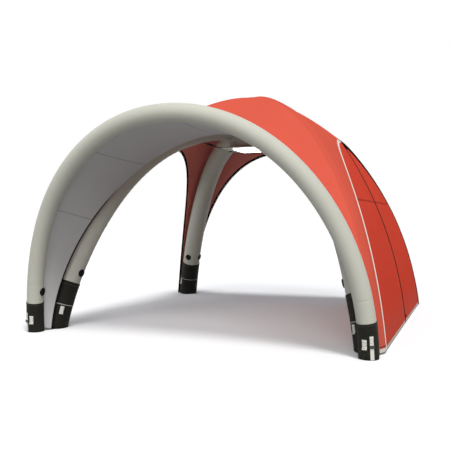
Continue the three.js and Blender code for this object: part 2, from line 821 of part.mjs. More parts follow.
function porchWebbing(name, side) {
  const radius = porchRadius + gap + porchBootWall;
  const top = angleAtHeight(porchLine, porchBootHeight);
  const curve = side > 0 ? porchCurve(0, top, bootSteps) : porchCurve(Math.PI - top, Math.PI, bootSteps);
  const boot = toSolid(tubeGeometry(curve, radius + gap, bootSteps, porchSides));
  const pointAt = porchPointAtHeight(side);
  return [
    ringTab(`porch_${name}`, pointAt, porchWebbingTop, direction(-side * porchRingFacing), boot, radius + gap),
    anchorStrap(name, pointAt, direction(side * anchorFacing), boot, radius + gap),
  ];
}

// ---- Assembly ----

const tent = new THREE.Group();
tent.add(...crownPieces());
for (const corner of legCorners) {
  tent.add(...legPieces(corner), ...legValves(corner), legWebbing(corner));
}
tent.add(canopyPiece());
tent.add(
  pipingPiece("piping_right", 0, colours.whiteTrim),
  pipingPiece("piping_back", 1, colours.blackTrim),
  pipingPiece("piping_left", 2, colours.blackTrim),
  pipingPiece("piping_front", 3, colours.blackTrim),
);
tent.add(...wallPieces(), ...porchPieces(), porchValve());
tent.add(...porchWebbing("left", -1), ...porchWebbing("right", 1));

// The ground point under the middle of the whole tent is the origin.
const bounds = new THREE.Box3().setFromObject(tent);
tent.position.set(0, -(bounds.min.y + bounds.max.y) / 2, 0);

export default tent;
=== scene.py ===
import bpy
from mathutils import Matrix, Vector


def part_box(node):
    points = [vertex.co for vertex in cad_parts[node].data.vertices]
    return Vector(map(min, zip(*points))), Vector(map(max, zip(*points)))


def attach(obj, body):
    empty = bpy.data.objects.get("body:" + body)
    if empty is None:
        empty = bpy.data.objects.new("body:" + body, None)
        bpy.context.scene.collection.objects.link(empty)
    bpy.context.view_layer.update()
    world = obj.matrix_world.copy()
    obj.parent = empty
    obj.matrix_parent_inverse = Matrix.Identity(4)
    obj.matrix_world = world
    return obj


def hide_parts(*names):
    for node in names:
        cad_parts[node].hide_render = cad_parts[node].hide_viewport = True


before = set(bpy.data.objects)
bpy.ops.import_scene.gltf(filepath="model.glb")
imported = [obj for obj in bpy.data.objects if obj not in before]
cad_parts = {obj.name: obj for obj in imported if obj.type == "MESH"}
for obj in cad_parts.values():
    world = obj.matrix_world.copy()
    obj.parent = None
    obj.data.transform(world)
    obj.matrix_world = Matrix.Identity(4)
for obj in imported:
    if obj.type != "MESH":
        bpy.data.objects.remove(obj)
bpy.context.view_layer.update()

import functools
import math

import bmesh
import bpy
import numpy as np
from mathutils import Matrix, Vector, noise

bl_info = {
    "name": "Inflatable event tent",
    "version": (1, 0, 0),
    "blender": (4, 5, 0),
    "location": "View3D > Sidebar > Event tent",
    "description": "An inflatable four-leg event tent with a zipped side wall and a tunnel porch",
    "category": "Add Mesh",
}

CROWN_Y = sum(corner.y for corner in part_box("lamp_panel")) / 2  # the tent's axis stands at x 0 and here
QUARTER = math.pi / 2
CORNERS = {"front_left": (-1, -1), "front_right": (1, -1), "back_left": (-1, 1), "back_right": (1, 1)}
SIDES = {"right": 0, "back": 1, "left": 2, "front": 3}  # quarter turns from +X
GAP = 0.0003  # clearance between a tube and what is sewn round it
WHITE = (1.0, 1.0, 1.0)


def srgb(*channels):
    """A screen colour, as the linear numbers that a shader takes."""
    return tuple(((c / 255 + 0.055) / 1.055) ** 2.4 if c > 10 else c / 3294.6 for c in channels)


# ---- Sizes and colours ----


def length(name, description, metres):
    return bpy.props.FloatProperty(
        name=name, description=description, default=metres, min=0, unit="LENGTH", precision=4)


def colour(name, description, *channels):
    return bpy.props.FloatVectorProperty(
        name=name, description=description, default=srgb(*channels), size=3, min=0, max=1, subtype="COLOR")


class EventTentSizes(bpy.types.PropertyGroup):
    """The sizes that the tent's pieces share."""

    foot_half_span: length("Foot half span", "From the tent's axis to a foot, along X and along Y", 2.0)
    leg_height: length("Leg height", "Top of an air leg's middle line", 2.704)
    leg_radius: length("Leg radius", "Radius of an air leg", 0.15)
    boot_wall: length("Boot wall", "Thickness of the fabric boots round the legs", 0.006)
    boot_height: length("Boot height", "Height of the boots on the legs", 0.598)
    boot_ring_height: length("Boot ring height", "Height of the pale ring round a leg's boot", 0.317)
    canopy_peak: length("Canopy peak", "Height of the canopy's peak", 3.18)
    ridge_foot: length("Ridge foot", "From the tent's axis to a corner of the canopy", 3.02243)
    hem_height: length("Hem height", "Lowest edge of every sheet above the ground", 0.012)
    cloth_thickness: length("Cloth thickness", "Thickness that the sheets are shown with", 0.0024)
    opening_half_width: length("Opening half width", "Half the width of an opening at the ground", 1.931)
    opening_height: length("Opening height", "Height of an opening", 2.489)
    opening_foot_depth: length("Opening foot depth", "From the axis to the foot of an opening", 2.173)
    opening_top_depth: length("Opening top depth", "From the axis to the top of an opening", 1.286)
    opening_bow: length("Opening bow", "How far an opening's edge bows out", 0.169)
    piping_radius: length("Piping radius", "Radius of the cord round an opening", 0.006)
    zip_top_margin: length("Zip top margin", "End of the wall's zip below the opening's top", 0.11)
    wall_seam_height: length("Wall seam height", "Height of the seam across the side wall", 1.63)
    porch_radius: length("Porch radius", "Radius of the porch's air arch", 0.1)
    porch_half_width: length("Porch half width", "Half the span of the porch's arch", 2.051)
    porch_height: length("Porch height", "Top of the porch arch's middle line", 2.518)
    porch_foot_depth: length("Porch foot depth", "From the axis to the porch's feet", 2.333)
    porch_lean: length("Porch lean", "How much further out the arch's top stands than its feet", 0.468)
    porch_boot_wall: length("Porch boot wall", "Thickness of the boots on the porch's feet", 0.005)
    porch_boot_height: length("Porch boot height", "Height of the boots on the porch's feet", 0.373)
    crown_panel_side: length("Crown panel side", "Side of the square panel under the crown", 0.75)
    valve_height: length("Valve height", "Height of the valves on the legs", 0.735)
    porch_valve_height: length("Porch valve height", "Height of the valve on the porch", 0.513)
    webbing_width: length("Webbing width", "Width of the webbing", 0.05)
    leg_webbing_top: length("Leg webbing top", "Top of the webbing tabs on the legs", 0.29)
    porch_webbing_top: length("Porch webbing top", "Top of the webbing tabs on the porch's feet", 0.215)
    buckle_height: length("Buckle height", "Height of the buckles on the anchor straps", 0.145)


class EventTentColours(bpy.types.PropertyGroup):
    """The colours of the tent's fabrics and fittings."""

    canopy: colour("Canopy", "Coral printed cloth of the canopy", 208, 89, 71)
    wall: colour("Side wall", "Red printed cloth of the side wall", 210, 72, 54)
    # the reverse is paler than the print, and lighter still: painted fill light for the shaded inside of the
    # tent
    reverse: colour("Reverse", "Paler reverse of the printed cloths", 235, 140, 128)
    tube: colour("Air tubes", "Light grey sleeves of the air tubes", 196, 195, 182)
    porch: colour("Porch cover", "Light grey cloth of the porch", 199, 198, 196)
    boot: colour("Boots", "Black cloth of the boots", 27, 26, 20)
    black: colour("Black trim", "Black tapes, cords and zips", 13, 13, 12)
    white: colour("White trim", "White tapes of the side wall", 220, 214, 205)
    plastic: colour("Fittings", "Black moulded plastic", 5, 5, 5)
    marked_cap: colour("Marked cap", "Dark red plastic of one valve's cap", 74, 18, 20)
    # rings and buckles: the near-black plastic is lightened to grey, a painted glint
    ring: colour("Rings", "Dark grey plastic of the rings and buckles at the feet", 44, 44, 42)
    dust: colour("Dust", "Dust low down on the cloths", 150, 140, 128)
    webbing: colour("Webbing", "White webbing at the feet", 230, 228, 216)
    floor: colour("Floor", "Pale studio floor", 254, 254, 254)


# ---- The lines that the pieces share ----


class Arch:
    """A superellipse arch. Its angle is 0 at a foot and a quarter turn at the top.

    The powers shape it: 2 gives an ellipse, more a squarer shoulder and less a flatter one.
    """

    def __init__(self, half_width, height, across_power, up_power):
        self.half_width = half_width
        self.height = height
        self.across_power = across_power
        self.up_power = up_power

    def at(self, angle):
        across = np.cos(angle)
        up = np.maximum(np.sin(angle), 0)
        return (np.sign(across) * self.half_width * np.abs(across) ** (2 / self.across_power),
                self.height * up ** (2 / self.up_power))

    def angle_at_height(self, height):
        return np.arcsin((np.asarray(height) / self.height) ** (self.up_power / 2))

    def angle_at_across(self, across):
        return math.acos((across / self.half_width) ** (self.across_power / 2))


def unit(vectors):
    return vectors / np.maximum(np.linalg.norm(vectors, axis=-1, keepdims=True), 1e-12)


def lengths_along(points):
    """The distance from a line's start to each of its points."""
    steps = np.linalg.norm(np.diff(points, axis=0), axis=1)
    return np.concatenate([[0], np.cumsum(steps)])


def evenly(points, step):
    """A line's points again, spread at an even step."""
    run = lengths_along(points)
    wanted = np.linspace(0, run[-1], max(4, int(round(run[-1] / step)) + 1))
    return np.stack([np.interp(wanted, run, points[:, k]) for k in range(3)], axis=1)


class Tent:
    """The middle lines, edges and surfaces of the tent, in metres."""

    peak_share = 0.3  # share of the way down the canopy at which the openings begin
    peak_roundness = 0.25

    def __init__(self, sizes):
        self.sizes = sizes
        root = math.sqrt(2)
        self.leg = Arch(sizes.foot_half_span * root, sizes.leg_height, 2.68, 1.27)
        self.ridge = Arch(sizes.ridge_foot, sizes.canopy_peak, 1.91, 1.52)
        self.opening = Arch(sizes.opening_half_width, sizes.opening_height, 1.91, 1.8)
        self.porch = Arch(sizes.porch_half_width, sizes.porch_height, 2.04, 2.11)
        foot, top, bow = sizes.opening_foot_depth, sizes.opening_top_depth, sizes.opening_bow
        chord = math.hypot(foot - top, sizes.opening_height)
        tilt = math.atan2(foot - top, sizes.opening_height)
        self.drum_radius = chord ** 2 / (8 * bow) + bow / 2
        self.drum_depth = (foot + top) / 2 - (self.drum_radius - bow) * math.cos(tilt)
        self.drum_up = sizes.opening_height / 2 - (self.drum_radius - bow) * math.sin(tilt)
        self.hem_angle = float(self.opening.angle_at_height(sizes.hem_height))
        self.piping_inset = sizes.piping_radius + 2 * GAP  # from an opening's edge to its cord's middle

    def leg_line(self, corner, low, last_across):
        """The middle line of a leg from a height to a distance from the axis."""
        start, end = self.leg.angle_at_height(low), self.leg.angle_at_across(last_across)
        angles = np.linspace(start, end, 400)
        across, up = self.leg.at(angles)
        flat = across / math.sqrt(2)
        return np.stack([corner[0] * flat, corner[1] * flat + CROWN_Y, up], axis=1)

    def leg_point(self, corner, height):
        across, up = self.leg.at(self.leg.angle_at_height(height))
        flat = across / math.sqrt(2)
        return Vector((corner[0] * flat, corner[1] * flat + CROWN_Y, up))

    def across_leg(self, corner):
        """The level direction square to a leg's plane."""
        return np.array([-corner[1], corner[0], 0]) / math.sqrt(2)

    def opening_depth(self, up):
        return self.drum_depth + np.sqrt(self.drum_radius ** 2 - (up - self.drum_up) ** 2)

    def opening_edge(self, angle, inset):
        """The edge of the opening on the +X side, before the crown's shift in Y."""
        step = 1e-3
        angle = np.asarray(angle, float)
        across, up = self.opening.at(angle)
        before = self.opening.at(np.maximum(angle - step, 0))
        after = self.opening.at(np.minimum(angle + step, math.pi))
        run = unit(np.stack([after[0] - before[0], after[1] - before[1]], axis=-1))
        across = across - run[..., 1] * inset
        up = up + run[..., 0] * inset
        return np.stack([self.opening_depth(up), across, up], axis=-1)

    def opening_line(self, side, inset, step=0.02):
        angles = np.linspace(self.hem_angle, math.pi - self.hem_angle, 900)
        return evenly(standing(turned(self.opening_edge(angles, inset), SIDES[side])), step)

    def porch_point(self, angle):
        across, up = self.porch.at(angle)
        lean = self.sizes.porch_lean * (up / self.porch.height) ** 1.37
        return np.stack([across, CROWN_Y - self.sizes.porch_foot_depth - lean, up], axis=-1)

    def porch_foot(self, side, height):
        """The porch arch's middle line at a height, on one side."""
        point = self.porch_point(self.porch.angle_at_height(height))
        return Vector((side * point[0], point[1], point[2]))

    def canopy_half(self, down, across):
        """The sheet between the ridge (across 0) and the middle of the +X side (across 1)."""
        sizes = self.sizes
        low = float(self.ridge.angle_at_height(sizes.hem_height))
        ridge_across, ridge_up = self.ridge.at(QUARTER + (low - QUARTER) * down)
        ridge = np.stack([ridge_across / math.sqrt(2), ridge_across / math.sqrt(2), ridge_up], axis=-1)
        share = np.minimum(down / self.peak_share, 1)
        rounded = self.peak_roundness
        fall = (np.hypot(share, rounded) - rounded) / (math.hypot(1, rounded) - rounded)
        height = sizes.canopy_peak - (sizes.canopy_peak - sizes.opening_height) * fall
        below = np.clip((down - self.peak_share) / (1 - self.peak_share), 0, 1)
        top = np.stack([sizes.opening_top_depth * share, np.zeros_like(share), height], axis=-1)
        edge = self.opening_edge(QUARTER + (self.hem_angle - QUARTER) * below, 0)
        middle = np.where((down <= self.peak_share)[..., None], top, edge)
        weight = 1 - (1 - across) ** (2 - below)
        x = ridge[..., 0] + (middle[..., 0] - ridge[..., 0]) * weight
        y = ridge[..., 1] + (middle[..., 1] - ridge[..., 1]) * across
        z = ridge[..., 2] + (middle[..., 2] - ridge[..., 2]) * weight
        return np.stack([x, y, z], axis=-1)

    def off_leg(self, points, softness):
        """Pushes points of the (+X, +Y) quarter out until they clear the leg under them."""
        across, up = self.leg.at(np.linspace(0, QUARTER, 160))
        line = np.stack([across / math.sqrt(2), across / math.sqrt(2), up], axis=-1)
        flat = points.reshape(-1, 3)
        start, run = line[:-1], np.diff(line, axis=0)
        share = np.einsum("mnk,nk->mn", flat[:, None] - start, run) / np.sum(run ** 2, axis=1)
        spots = start + np.clip(share, 0, 1)[..., None] * run
        distances = np.linalg.norm(flat[:, None] - spots, axis=-1)
        best = np.argmin(distances, axis=1)
        rows = np.arange(len(flat))
        nearest, distance = spots[rows, best], distances[rows, best]
        reach = self.sizes.leg_radius + self.sizes.boot_wall + 0.0113
        soft = softness.reshape(-1)
        apart = (distance + reach) / 2 + np.sqrt(((distance - reach) / 2) ** 2 + soft ** 2)
        moved = nearest + unit(flat - nearest) * apart[:, None]
        return moved.reshape(points.shape)


def turned(points, quarter_turns):
    """Points turned about the tent's axis by quarter turns."""
    x, y, z = points[..., 0], points[..., 1], points[..., 2]
    for _ in range(quarter_turns % 4):
        x, y = -y, x
    return np.stack([x, y, z], axis=-1)


def standing(points):
    """Points about the tent's axis, moved to where the axis stands."""
    return points + np.array([0, CROWN_Y, 0])


# ---- Meshes ----


def cloth_noise(coordinates, stretch, seed):
    """Noise between about -1 and 1 over a sheet's cloth coordinates, the same at each run."""
    places = coordinates.reshape(-1, 2) * stretch + seed
    values = [noise.noise(Vector((*place, seed))) for place in places]
    return np.array(values).reshape(coordinates.shape[:-1])


def store(mesh, name, values):
    """Keeps a number for each vertex as an attribute."""
    mesh.attributes.new(name, "FLOAT", "POINT").data.foreach_set("value", values.astype(np.float32))


def mesh_object(name, vertices, faces, cloth, edge=None):
    """A new object from vertices and faces, with its cloth coordinates in metres."""
    mesh = bpy.data.meshes.new(name)
    mesh.from_pydata([tuple(v) for v in vertices.tolist()], [], faces)
    layer = mesh.uv_layers.new(name="cloth")
    flat = np.array([pair for face in cloth for pair in face], dtype=np.float32)
    layer.data.foreach_set("uv", flat.ravel())
    if edge is not None:
        store(mesh, "edge", edge)
    mesh.polygons.foreach_set("use_smooth", [True] * len(mesh.polygons))
    mesh.update()
    obj = bpy.data.objects.new(name, mesh)
    bpy.context.scene.collection.objects.link(obj)
    return obj


def alone(obj):
    """Leaves only this object selected and active."""
    bpy.ops.object.select_all(action="DESELECT")
    obj.select_set(True)
    bpy.context.view_layer.objects.active = obj
    return obj


def merge_doubles(obj, reach, outward=False):
    """Merges the vertices that meet and, if asked, turns the faces outwards."""
    shell = bmesh.new()
    shell.from_mesh(obj.data)
    bmesh.ops.remove_doubles(shell, verts=shell.verts, dist=reach)
    if outward:
        bmesh.ops.recalc_face_normals(shell, faces=shell.faces)
    shell.to_mesh(obj.data)
    shell.free()


def finish_modifier(obj, kind, **settings):
    """Adds a modifier and applies it."""
    alone(obj)
    modifier = obj.modifiers.new(kind.title(), kind)
    for key, value in settings.items():
        setattr(modifier, key, value)
    bpy.ops.object.modifier_apply(modifier=modifier.name)


def sheet_object(name, grids, thickness, borders=None):
    """A sheet from grids of points on its outer face: rows run down, columns anticlockwise from above."""
    vertices, faces, cloth = [], [], []
    count = 0
    for grid, coordinates in grids:
        rows, columns = grid.shape[:2]
        vertices.append(grid.reshape(-1, 3))
        for i in range(rows - 1):
            for j in range(columns - 1):
                corners = [(i, j), (i + 1, j), (i + 1, j + 1), (i, j + 1)]
                faces.append([count + r * columns + c for r, c in corners])
                cloth.append([coordinates[r, c] for r, c in corners])
        count += rows * columns
    vertices = np.concatenate(vertices)
    edge = None if borders is None else distance_to(vertices, borders)
    obj = mesh_object(name, vertices, faces, cloth, edge)
    merge_doubles(obj, 1e-5)
    outer = len(obj.data.vertices)
    finish_modifier(obj, "SOLIDIFY", thickness=thickness, offset=-1, use_even_offset=False)
    store(obj.data, "inner", np.arange(len(obj.data.vertices)) >= outer)
    return obj


def distance_to(points, lines):
    """The distance from each point to the nearest point of some lines."""
    line = np.concatenate(lines)
    found = np.empty(len(points))
    for first in range(0, len(points), 2000):
        some = points[first:first + 2000]
        found[first:first + 2000] = np.min(np.linalg.norm(some[:, None] - line[None], axis=-1), axis=1)
    return found


def cloth_coordinates(grid, middle_column):
    """Metres across from one column and down from the first row, at each point of a grid."""
    across = np.linalg.norm(np.diff(grid, axis=1), axis=-1)
    across = np.concatenate([np.zeros((len(grid), 1)), np.cumsum(across, axis=1)], axis=1)
    across = across - across[:, [middle_column]]
    down = lengths_along(grid[:, middle_column])
    return np.stack([across, np.broadcast_to(down[:, None], across.shape)], axis=-1)


def level_feet(line, run, rings):
    """Turns the ends of a leaning tube that stand on the ground until they lie flat on it."""
    reach = 0.12  # length of tube that bends
    for end, away in ((0, run), (-1, run[-1] - run)):
        if line[end, 2] < reach:
            share = np.clip(1 - away / reach, 0, 1)
            share = share * share * (3 - 2 * share)
            rings[..., 2] += share[:, None] * (line[end, 2] - rings[end, :, 2])[None, :]
    return rings


def tube_object(name, line, reference, radius, sides, stands=False):
    """A closed tube round a line. radius is a number, or a function of the length and the angle."""
    tangent = unit(np.gradient(line, axis=0))
    reference = np.asarray(reference, float)
    first = unit(reference - (tangent @ reference)[:, None] * tangent)
    second = np.cross(tangent, first)
    angle = np.linspace(0, 2 * math.pi, sides, endpoint=False)
    run = lengths_along(line)
    radii = np.full((len(line), sides), radius(run[:, None], angle[None, :]) if callable(radius) else radius)
    cosine, sine = np.cos(angle)[None, :, None], np.sin(angle)[None, :, None]
    rings = line[:, None] + (cosine * first[:, None] + sine * second[:, None]) * radii[..., None]
    if stands:
        rings = level_feet(line, run, rings)
    vertices = rings.reshape(-1, 3)
    girth = angle * float(np.median(radii))
    faces, cloth = [], []
    for i in range(len(line) - 1):
        for j in range(sides):
            k = (j + 1) % sides
            faces.append([i * sides + j, i * sides + k, (i + 1) * sides + k, (i + 1) * sides + j])
            far = girth[j] + girth[1]
            cloth.append([(girth[j], run[i]), (far, run[i]), (far, run[i + 1]), (girth[j], run[i + 1])])
    last = (len(line) - 1) * sides
    for cap in (list(range(sides))[::-1], list(range(last, last + sides))):
        faces.append(cap)
        cloth.append([(0.0, 0.0)] * sides)
    return mesh_object(name, vertices, faces, cloth)


def dent(run, place, width):
    """A soft dent round a tube at one length."""
    return np.exp(-((run - place) / width) ** 2)


# ---- Materials ----


class Level:
    """A number that varies over a surface. Arithmetic on it adds Math nodes."""

    def __init__(self, finish, socket):
        self.finish = finish
        self.socket = socket

    def math(self, operation, *values):
        return self.finish.level("ShaderNodeMath", {"operation": operation}, dict(enumerate(values)))

    def __add__(self, other):
        return self.math("ADD", self, other)

    __radd__ = __add__

    def __sub__(self, other):
        return self.math("SUBTRACT", self, other)

    def __rsub__(self, other):
        return self.math("SUBTRACT", other, self)

    def __mul__(self, other):
        return self.math("MULTIPLY", self, other)

    __rmul__ = __mul__

    def __truediv__(self, other):
        return self.math("DIVIDE", self, other)

    def above(self, limit):
        return self.math("GREATER_THAN", self, limit)

    def below(self, limit):
        return self.math("LESS_THAN", self, limit)

    def size(self):
        return self.math("ABSOLUTE", self)

    def wave(self, pitch):
        """A sine between -1 and 1 that repeats at a pitch."""
        return self.math("SINE", self * (2 * math.pi / pitch))

    def root(self):
        return self.math("SQRT", self)

    def largest(self, other):
        return self.math("MAXIMUM", self, other)

    def fade(self, start, end):
        """0 up to start and 1 from end on."""
        inputs = {"Value": self, "From Min": start, "From Max": end}
        return self.finish.level("ShaderNodeMapRange", {"interpolation_type": "SMOOTHSTEP"}, inputs)

    def line(self, place, half_width, soft=0.0015):
        """1 on a line at one value and 0 away from it."""
        return (self - place).size().fade(half_width + soft, half_width)


class Shading:
    """A node tree whose nodes are added by name."""

    def __init__(self, tree):
        self.tree = tree
        self.tree.nodes.clear()

    def node(self, kind, settings=None, inputs=None):
        node = self.tree.nodes.new(kind)
        for key, value in (settings or {}).items():
            setattr(node, key, value)
        for key, value in (inputs or {}).items():
            self.feed(node.inputs[key], value)
        return node

    def feed(self, socket, value):
        if isinstance(value, Level):
            value = value.socket
        if isinstance(value, bpy.types.NodeSocket):
            self.tree.links.new(value, socket)
        elif socket.type == "RGBA":
            socket.default_value = (*value[:3], 1)
        else:
            socket.default_value = value

    def level(self, kind, settings=None, inputs=None, output=0):
        return Level(self, self.node(kind, settings, inputs).outputs[output])

    def mix(self, share, first, second):
        """A colour between two colours."""
        node = self.node("ShaderNodeMix", {"data_type": "RGBA"}, {0: share, 6: first, 7: second})
        return node.outputs[2]

    def seen(self):
        """1 for what the camera sees, directly, in a reflection or through something clear."""
        rays = self.node("ShaderNodeLightPath").outputs
        return any_of(Level(self, rays[f"Is {kind} Ray"]) for kind in ("Camera", "Glossy", "Transmission"))


class Finish(Shading):
    """A material, read from its Object coordinates or from its cloth coordinates."""

    def __init__(self, name):
        self.material = bpy.data.materials.new(name)
        self.material.use_nodes = True
        super().__init__(self.material.node_tree)
        self.surface = self.node("ShaderNodeBsdfPrincipled")
        self.node("ShaderNodeOutputMaterial", None, {"Surface": self.surface.outputs[0]})

    def set(self, **values):
        for key, value in values.items():
            self.feed(self.surface.inputs[key.replace("_", " ")], value)

    def parts(self, vector):
        outputs = self.node("ShaderNodeSeparateXYZ", None, {0: vector}).outputs
        return [Level(self, output) for output in outputs]

    def place(self):
        """The three Object coordinates."""
        return self.parts(self.node("ShaderNodeTexCoord").outputs["Object"])

    def cloth(self):
        """Metres across and along the cloth."""
        return self.parts(self.node("ShaderNodeUVMap", {"uv_map": "cloth"}).outputs[0])[:2]

    def attribute(self, name):
        """A number stored on the mesh: edge is the distance to a bound edge, inner is 1 on the inner face."""
        return self.level("ShaderNodeAttribute", {"attribute_name": name}, None, "Fac")

    def noise(self, scale, detail=3.0):
        place = self.node("ShaderNodeTexCoord").outputs["Object"]
        inputs = {"Vector": place, "Scale": scale, "Detail": detail}
        return self.level("ShaderNodeTexNoise", None, inputs, "Fac")

    def bump(self, height, distance=1.0, strength=1.0):
        inputs = {"Height": height, "Distance": distance, "Strength": strength}
        self.set(Normal=self.node("ShaderNodeBump", None, inputs).outputs[0])

    def weave(self, thread):
        """Height of a plain weave between 0 and 1."""
        across, along = self.cloth()
        return across.wave(2 * thread) * along.wave(2 * thread) * 0.5 + 0.5


class Cloth(Finish):
    """Printed or coated cloth: a weave, slight folds and a little unevenness of colour."""

    def __init__(self, name, base, thread, rough, fold=0.5):
        super().__init__(name)
        patches = self.noise(1.1, 2.0)
        specks = self.noise(40.0, 2.0)
        tone = patches * 0.7 + specks * 0.3
        self.tone = self.mix(tone, fade_colour(base, 0.9), fade_colour(base, 1.08))
        self.height = self.weave(thread) * 0.00012 + self.noise(9.0, 4.0) * (0.002 * fold)
        self.rough = specks * 0.1 + (rough - 0.05)

    def paint(self, share, colour_value):
        """Lays a colour over the cloth where the share is above 0."""
        self.tone = self.mix(share, self.tone, colour_value)

    def close(self, shine=0.1):
        self.set(Base_Color=self.tone, Roughness=self.rough, Specular_IOR_Level=shine)
        self.bump(self.height)
        return self.material


def any_of(levels):
    """The largest of several levels."""
    return functools.reduce(Level.largest, levels)


def fade_colour(colour_value, share):
    """The same colour made lighter or darker."""
    return tuple(min(1.0, c * share) for c in colour_value)


def stitches(along, pitch=0.004):
    """A dashed mask for a row of stitches."""
    return along.wave(pitch).above(-0.35)


def distance(across, up):
    """How far a point is from the place where both levels are 0."""
    return (across * across + up * up).root()


def spot(across, up, radius):
    """1 inside a round spot."""
    return distance(across, up).fade(radius + 0.001, radius)


def canopy_finish(colours):
    finish = Cloth("coral_canopy_cloth", colours.canopy, 0.0006, 0.62)
    across, along = finish.cloth()
    x, y, z = finish.place()
    edge = finish.attribute("edge")
    # felled seams along the four ridges, each with two rows of stitches
    seam = across.size().fade(0.013, 0.011)
    rows = across.size().line(0.008, 0.0008) * stitches(along)
    finish.paint(rows, fade_colour(colours.canopy, 0.55))
    # the round patch at the peak
    patch = spot(x, y - CROWN_Y, 0.118)
    patch_rows = distance(x, y - CROWN_Y).line(0.112, 0.0008)
    finish.paint(patch_rows, fade_colour(colours.canopy, 0.55))
    # bound edges: black, but white down the front of the walled opening
    finish.paint(finish.attribute("inner"), colours.reverse)  # the reverse of the print is paler, and lighter still as painted fill light for the shaded inside
    walled = (x - (y - CROWN_Y).size()).above(0.0)
    white = walled * y.below(CROWN_Y)
    hidden = (x.size() + y - CROWN_Y).below(0.0) * z.fade(1.55, 1.85)  # under the porch cover
    front = (CROWN_Y - y - x.size()).above(0.0)
    keeper = white * spot(edge - 0.050, z - 0.090, 0.020)  # black loop that holds the wall's corner
    foot = white * z.fade(0.060, 0.058)
    edge = edge + white * 0.012 + front * 0.018
    bound = edge.fade(0.030, 0.028) * (1.0 - hidden)
    binding = finish.mix(white, colours.black, colours.white)
    finish.paint(bound, binding)
    bound_rows = edge.line(0.024, 0.0008) * stitches(along)
    finish.paint(bound_rows, fade_colour(colours.webbing, 0.35))
    finish.paint(foot, colours.white)
    finish.paint(keeper, colours.black)
    # a little dust low down
    dust = z.fade(0.35, 0.0) * finish.noise(6.0, 4.0) * 0.25
    finish.paint(dust, colours.dust)
    finish.height += seam * 0.0012 + patch * 0.001 + bound * 0.0012 - rows * 0.0004
    return finish.close(0.0)


def wall_finish(colours, tape, seam_height):
    finish = Cloth(f"red_wall_cloth_{tape}", colours.wall, 0.0006, 0.62)
    along = finish.cloth()[1]
    _, y, z = finish.place()
    edge = finish.attribute("edge")
    finish.paint(finish.attribute("inner"), colours.reverse)  # the reverse of the print is paler, and lighter still as painted fill light for the shaded inside
    seam = z.line(seam_height, 0.010)
    rows = (z - seam_height).size().line(0.007, 0.0008) * stitches(y)
    finish.paint(seam * 0.55, fade_colour(colours.wall, 0.35))
    tape_width = {"white": 0.022, "black": 0.040}[tape]
    if tape == "black":  # it widens towards the top
        edge = edge - z.fade(1.5, 2.2) * 0.08
    border = edge.fade(tape_width + 0.002, tape_width)
    finish.paint(border, getattr(colours, tape))
    hem = z.fade(0.046, 0.044)
    finish.paint(hem, fade_colour(colours.white, 0.95))
    border_rows = edge.line(tape_width - 0.006, 0.0008) * stitches(along)
    finish.paint(border_rows, fade_colour(colours.webbing, 0.5))
    beside_zip = (y - CROWN_Y).size().fade(0.041, 0.039)
    finish.paint(beside_zip, colours.black)
    dust = z.fade(0.5, 0.05) * finish.noise(5.0, 4.0) * 0.2
    finish.paint(dust, colours.dust)
    finish.height += (seam + border + hem) * 0.0012 - (rows + border_rows) * 0.0004
    return finish.close(0.0)


def porch_finish(colours, total):
    """The porch's cloth. total is the length of its edge at the front opening."""
    finish = Cloth("grey_porch_cloth", colours.porch, 0.0006, 0.66)
    across, along = finish.cloth()
    z = finish.place()[2]
    tape = across.fade(0.010, 0.008)
    finish.paint(tape * z.fade(1.85, 1.55), colours.black)
    seams = any_of(along.line(total * share, 0.006, 0.002) for share in (0.21, 0.35, 0.5, 0.65, 0.79))
    finish.paint(seams * 0.55, fade_colour(colours.porch, 0.45))
    finish.height += seams * 0.0012 + tape * 0.0012
    return finish.close()


def tube_finish(colours, name, seams):
    """The sleeve of an air tube, with sewn seams round it at some lengths."""
    finish = Cloth(name, colours.tube, 0.0008, 0.55, fold=0.7)
    across, along = finish.cloth()
    rows = any_of(along.line(place + side, 0.0008) for place in seams for side in (-0.004, 0.004))
    rows = rows * stitches(across)
    gaps = any_of(along.line(place, 0.0022, 0.003) for place in seams)
    finish.paint(gaps * 0.6, fade_colour(colours.tube, 1.25))
    finish.paint(rows * 0.35, fade_colour(colours.tube, 0.5))
    dirt = along.fade(0.9, 0.2) * finish.noise(7.0, 4.0) * 0.18
    finish.paint(dirt, srgb(150, 144, 132))
    finish.height -= gaps * 0.001 + rows * 0.0003
    return finish.close()


def boot_finish(colours, name, height, ring):
    finish = Cloth(name, colours.boot, 0.0011, 0.7, fold=1.2)
    across, along = finish.cloth()
    edges = along.fade(height - 0.022, height - 0.020)
    rows = along.line(height - 0.018, 0.0008) * stitches(across)
    if ring:
        pale = along.line(ring, 0.0045, 0.001)
        finish.paint(pale, srgb(176, 176, 170))
        low = along.fade(ring, ring - 0.004)
        finish.paint(low * 0.35, fade_colour(colours.boot, 0.6))
    finish.paint(rows, srgb(96, 94, 88))
    sole = along.fade(0.040, 0.038)
    finish.paint(sole, fade_colour(colours.boot, 0.55))
    scuff = along.fade(0.16, 0.0) * finish.noise(30.0, 5.0).fade(0.5, 0.75) * 0.2
    finish.paint(scuff, srgb(120, 112, 98))
    finish.height += finish.weave(0.0011) * 0.0003 + edges * 0.0012 + sole * 0.0012 - rows * 0.0004
    return finish.close(0.15)


def tape_finish(name, base, rib=0.0022):
    """Woven tape or webbing with ribs across it."""
    finish = Cloth(name, base, 0.0009, 0.75, fold=0.1)
    along = finish.cloth()[1]
    finish.height += along.wave(rib) * 0.00025
    return finish.close(0.0)


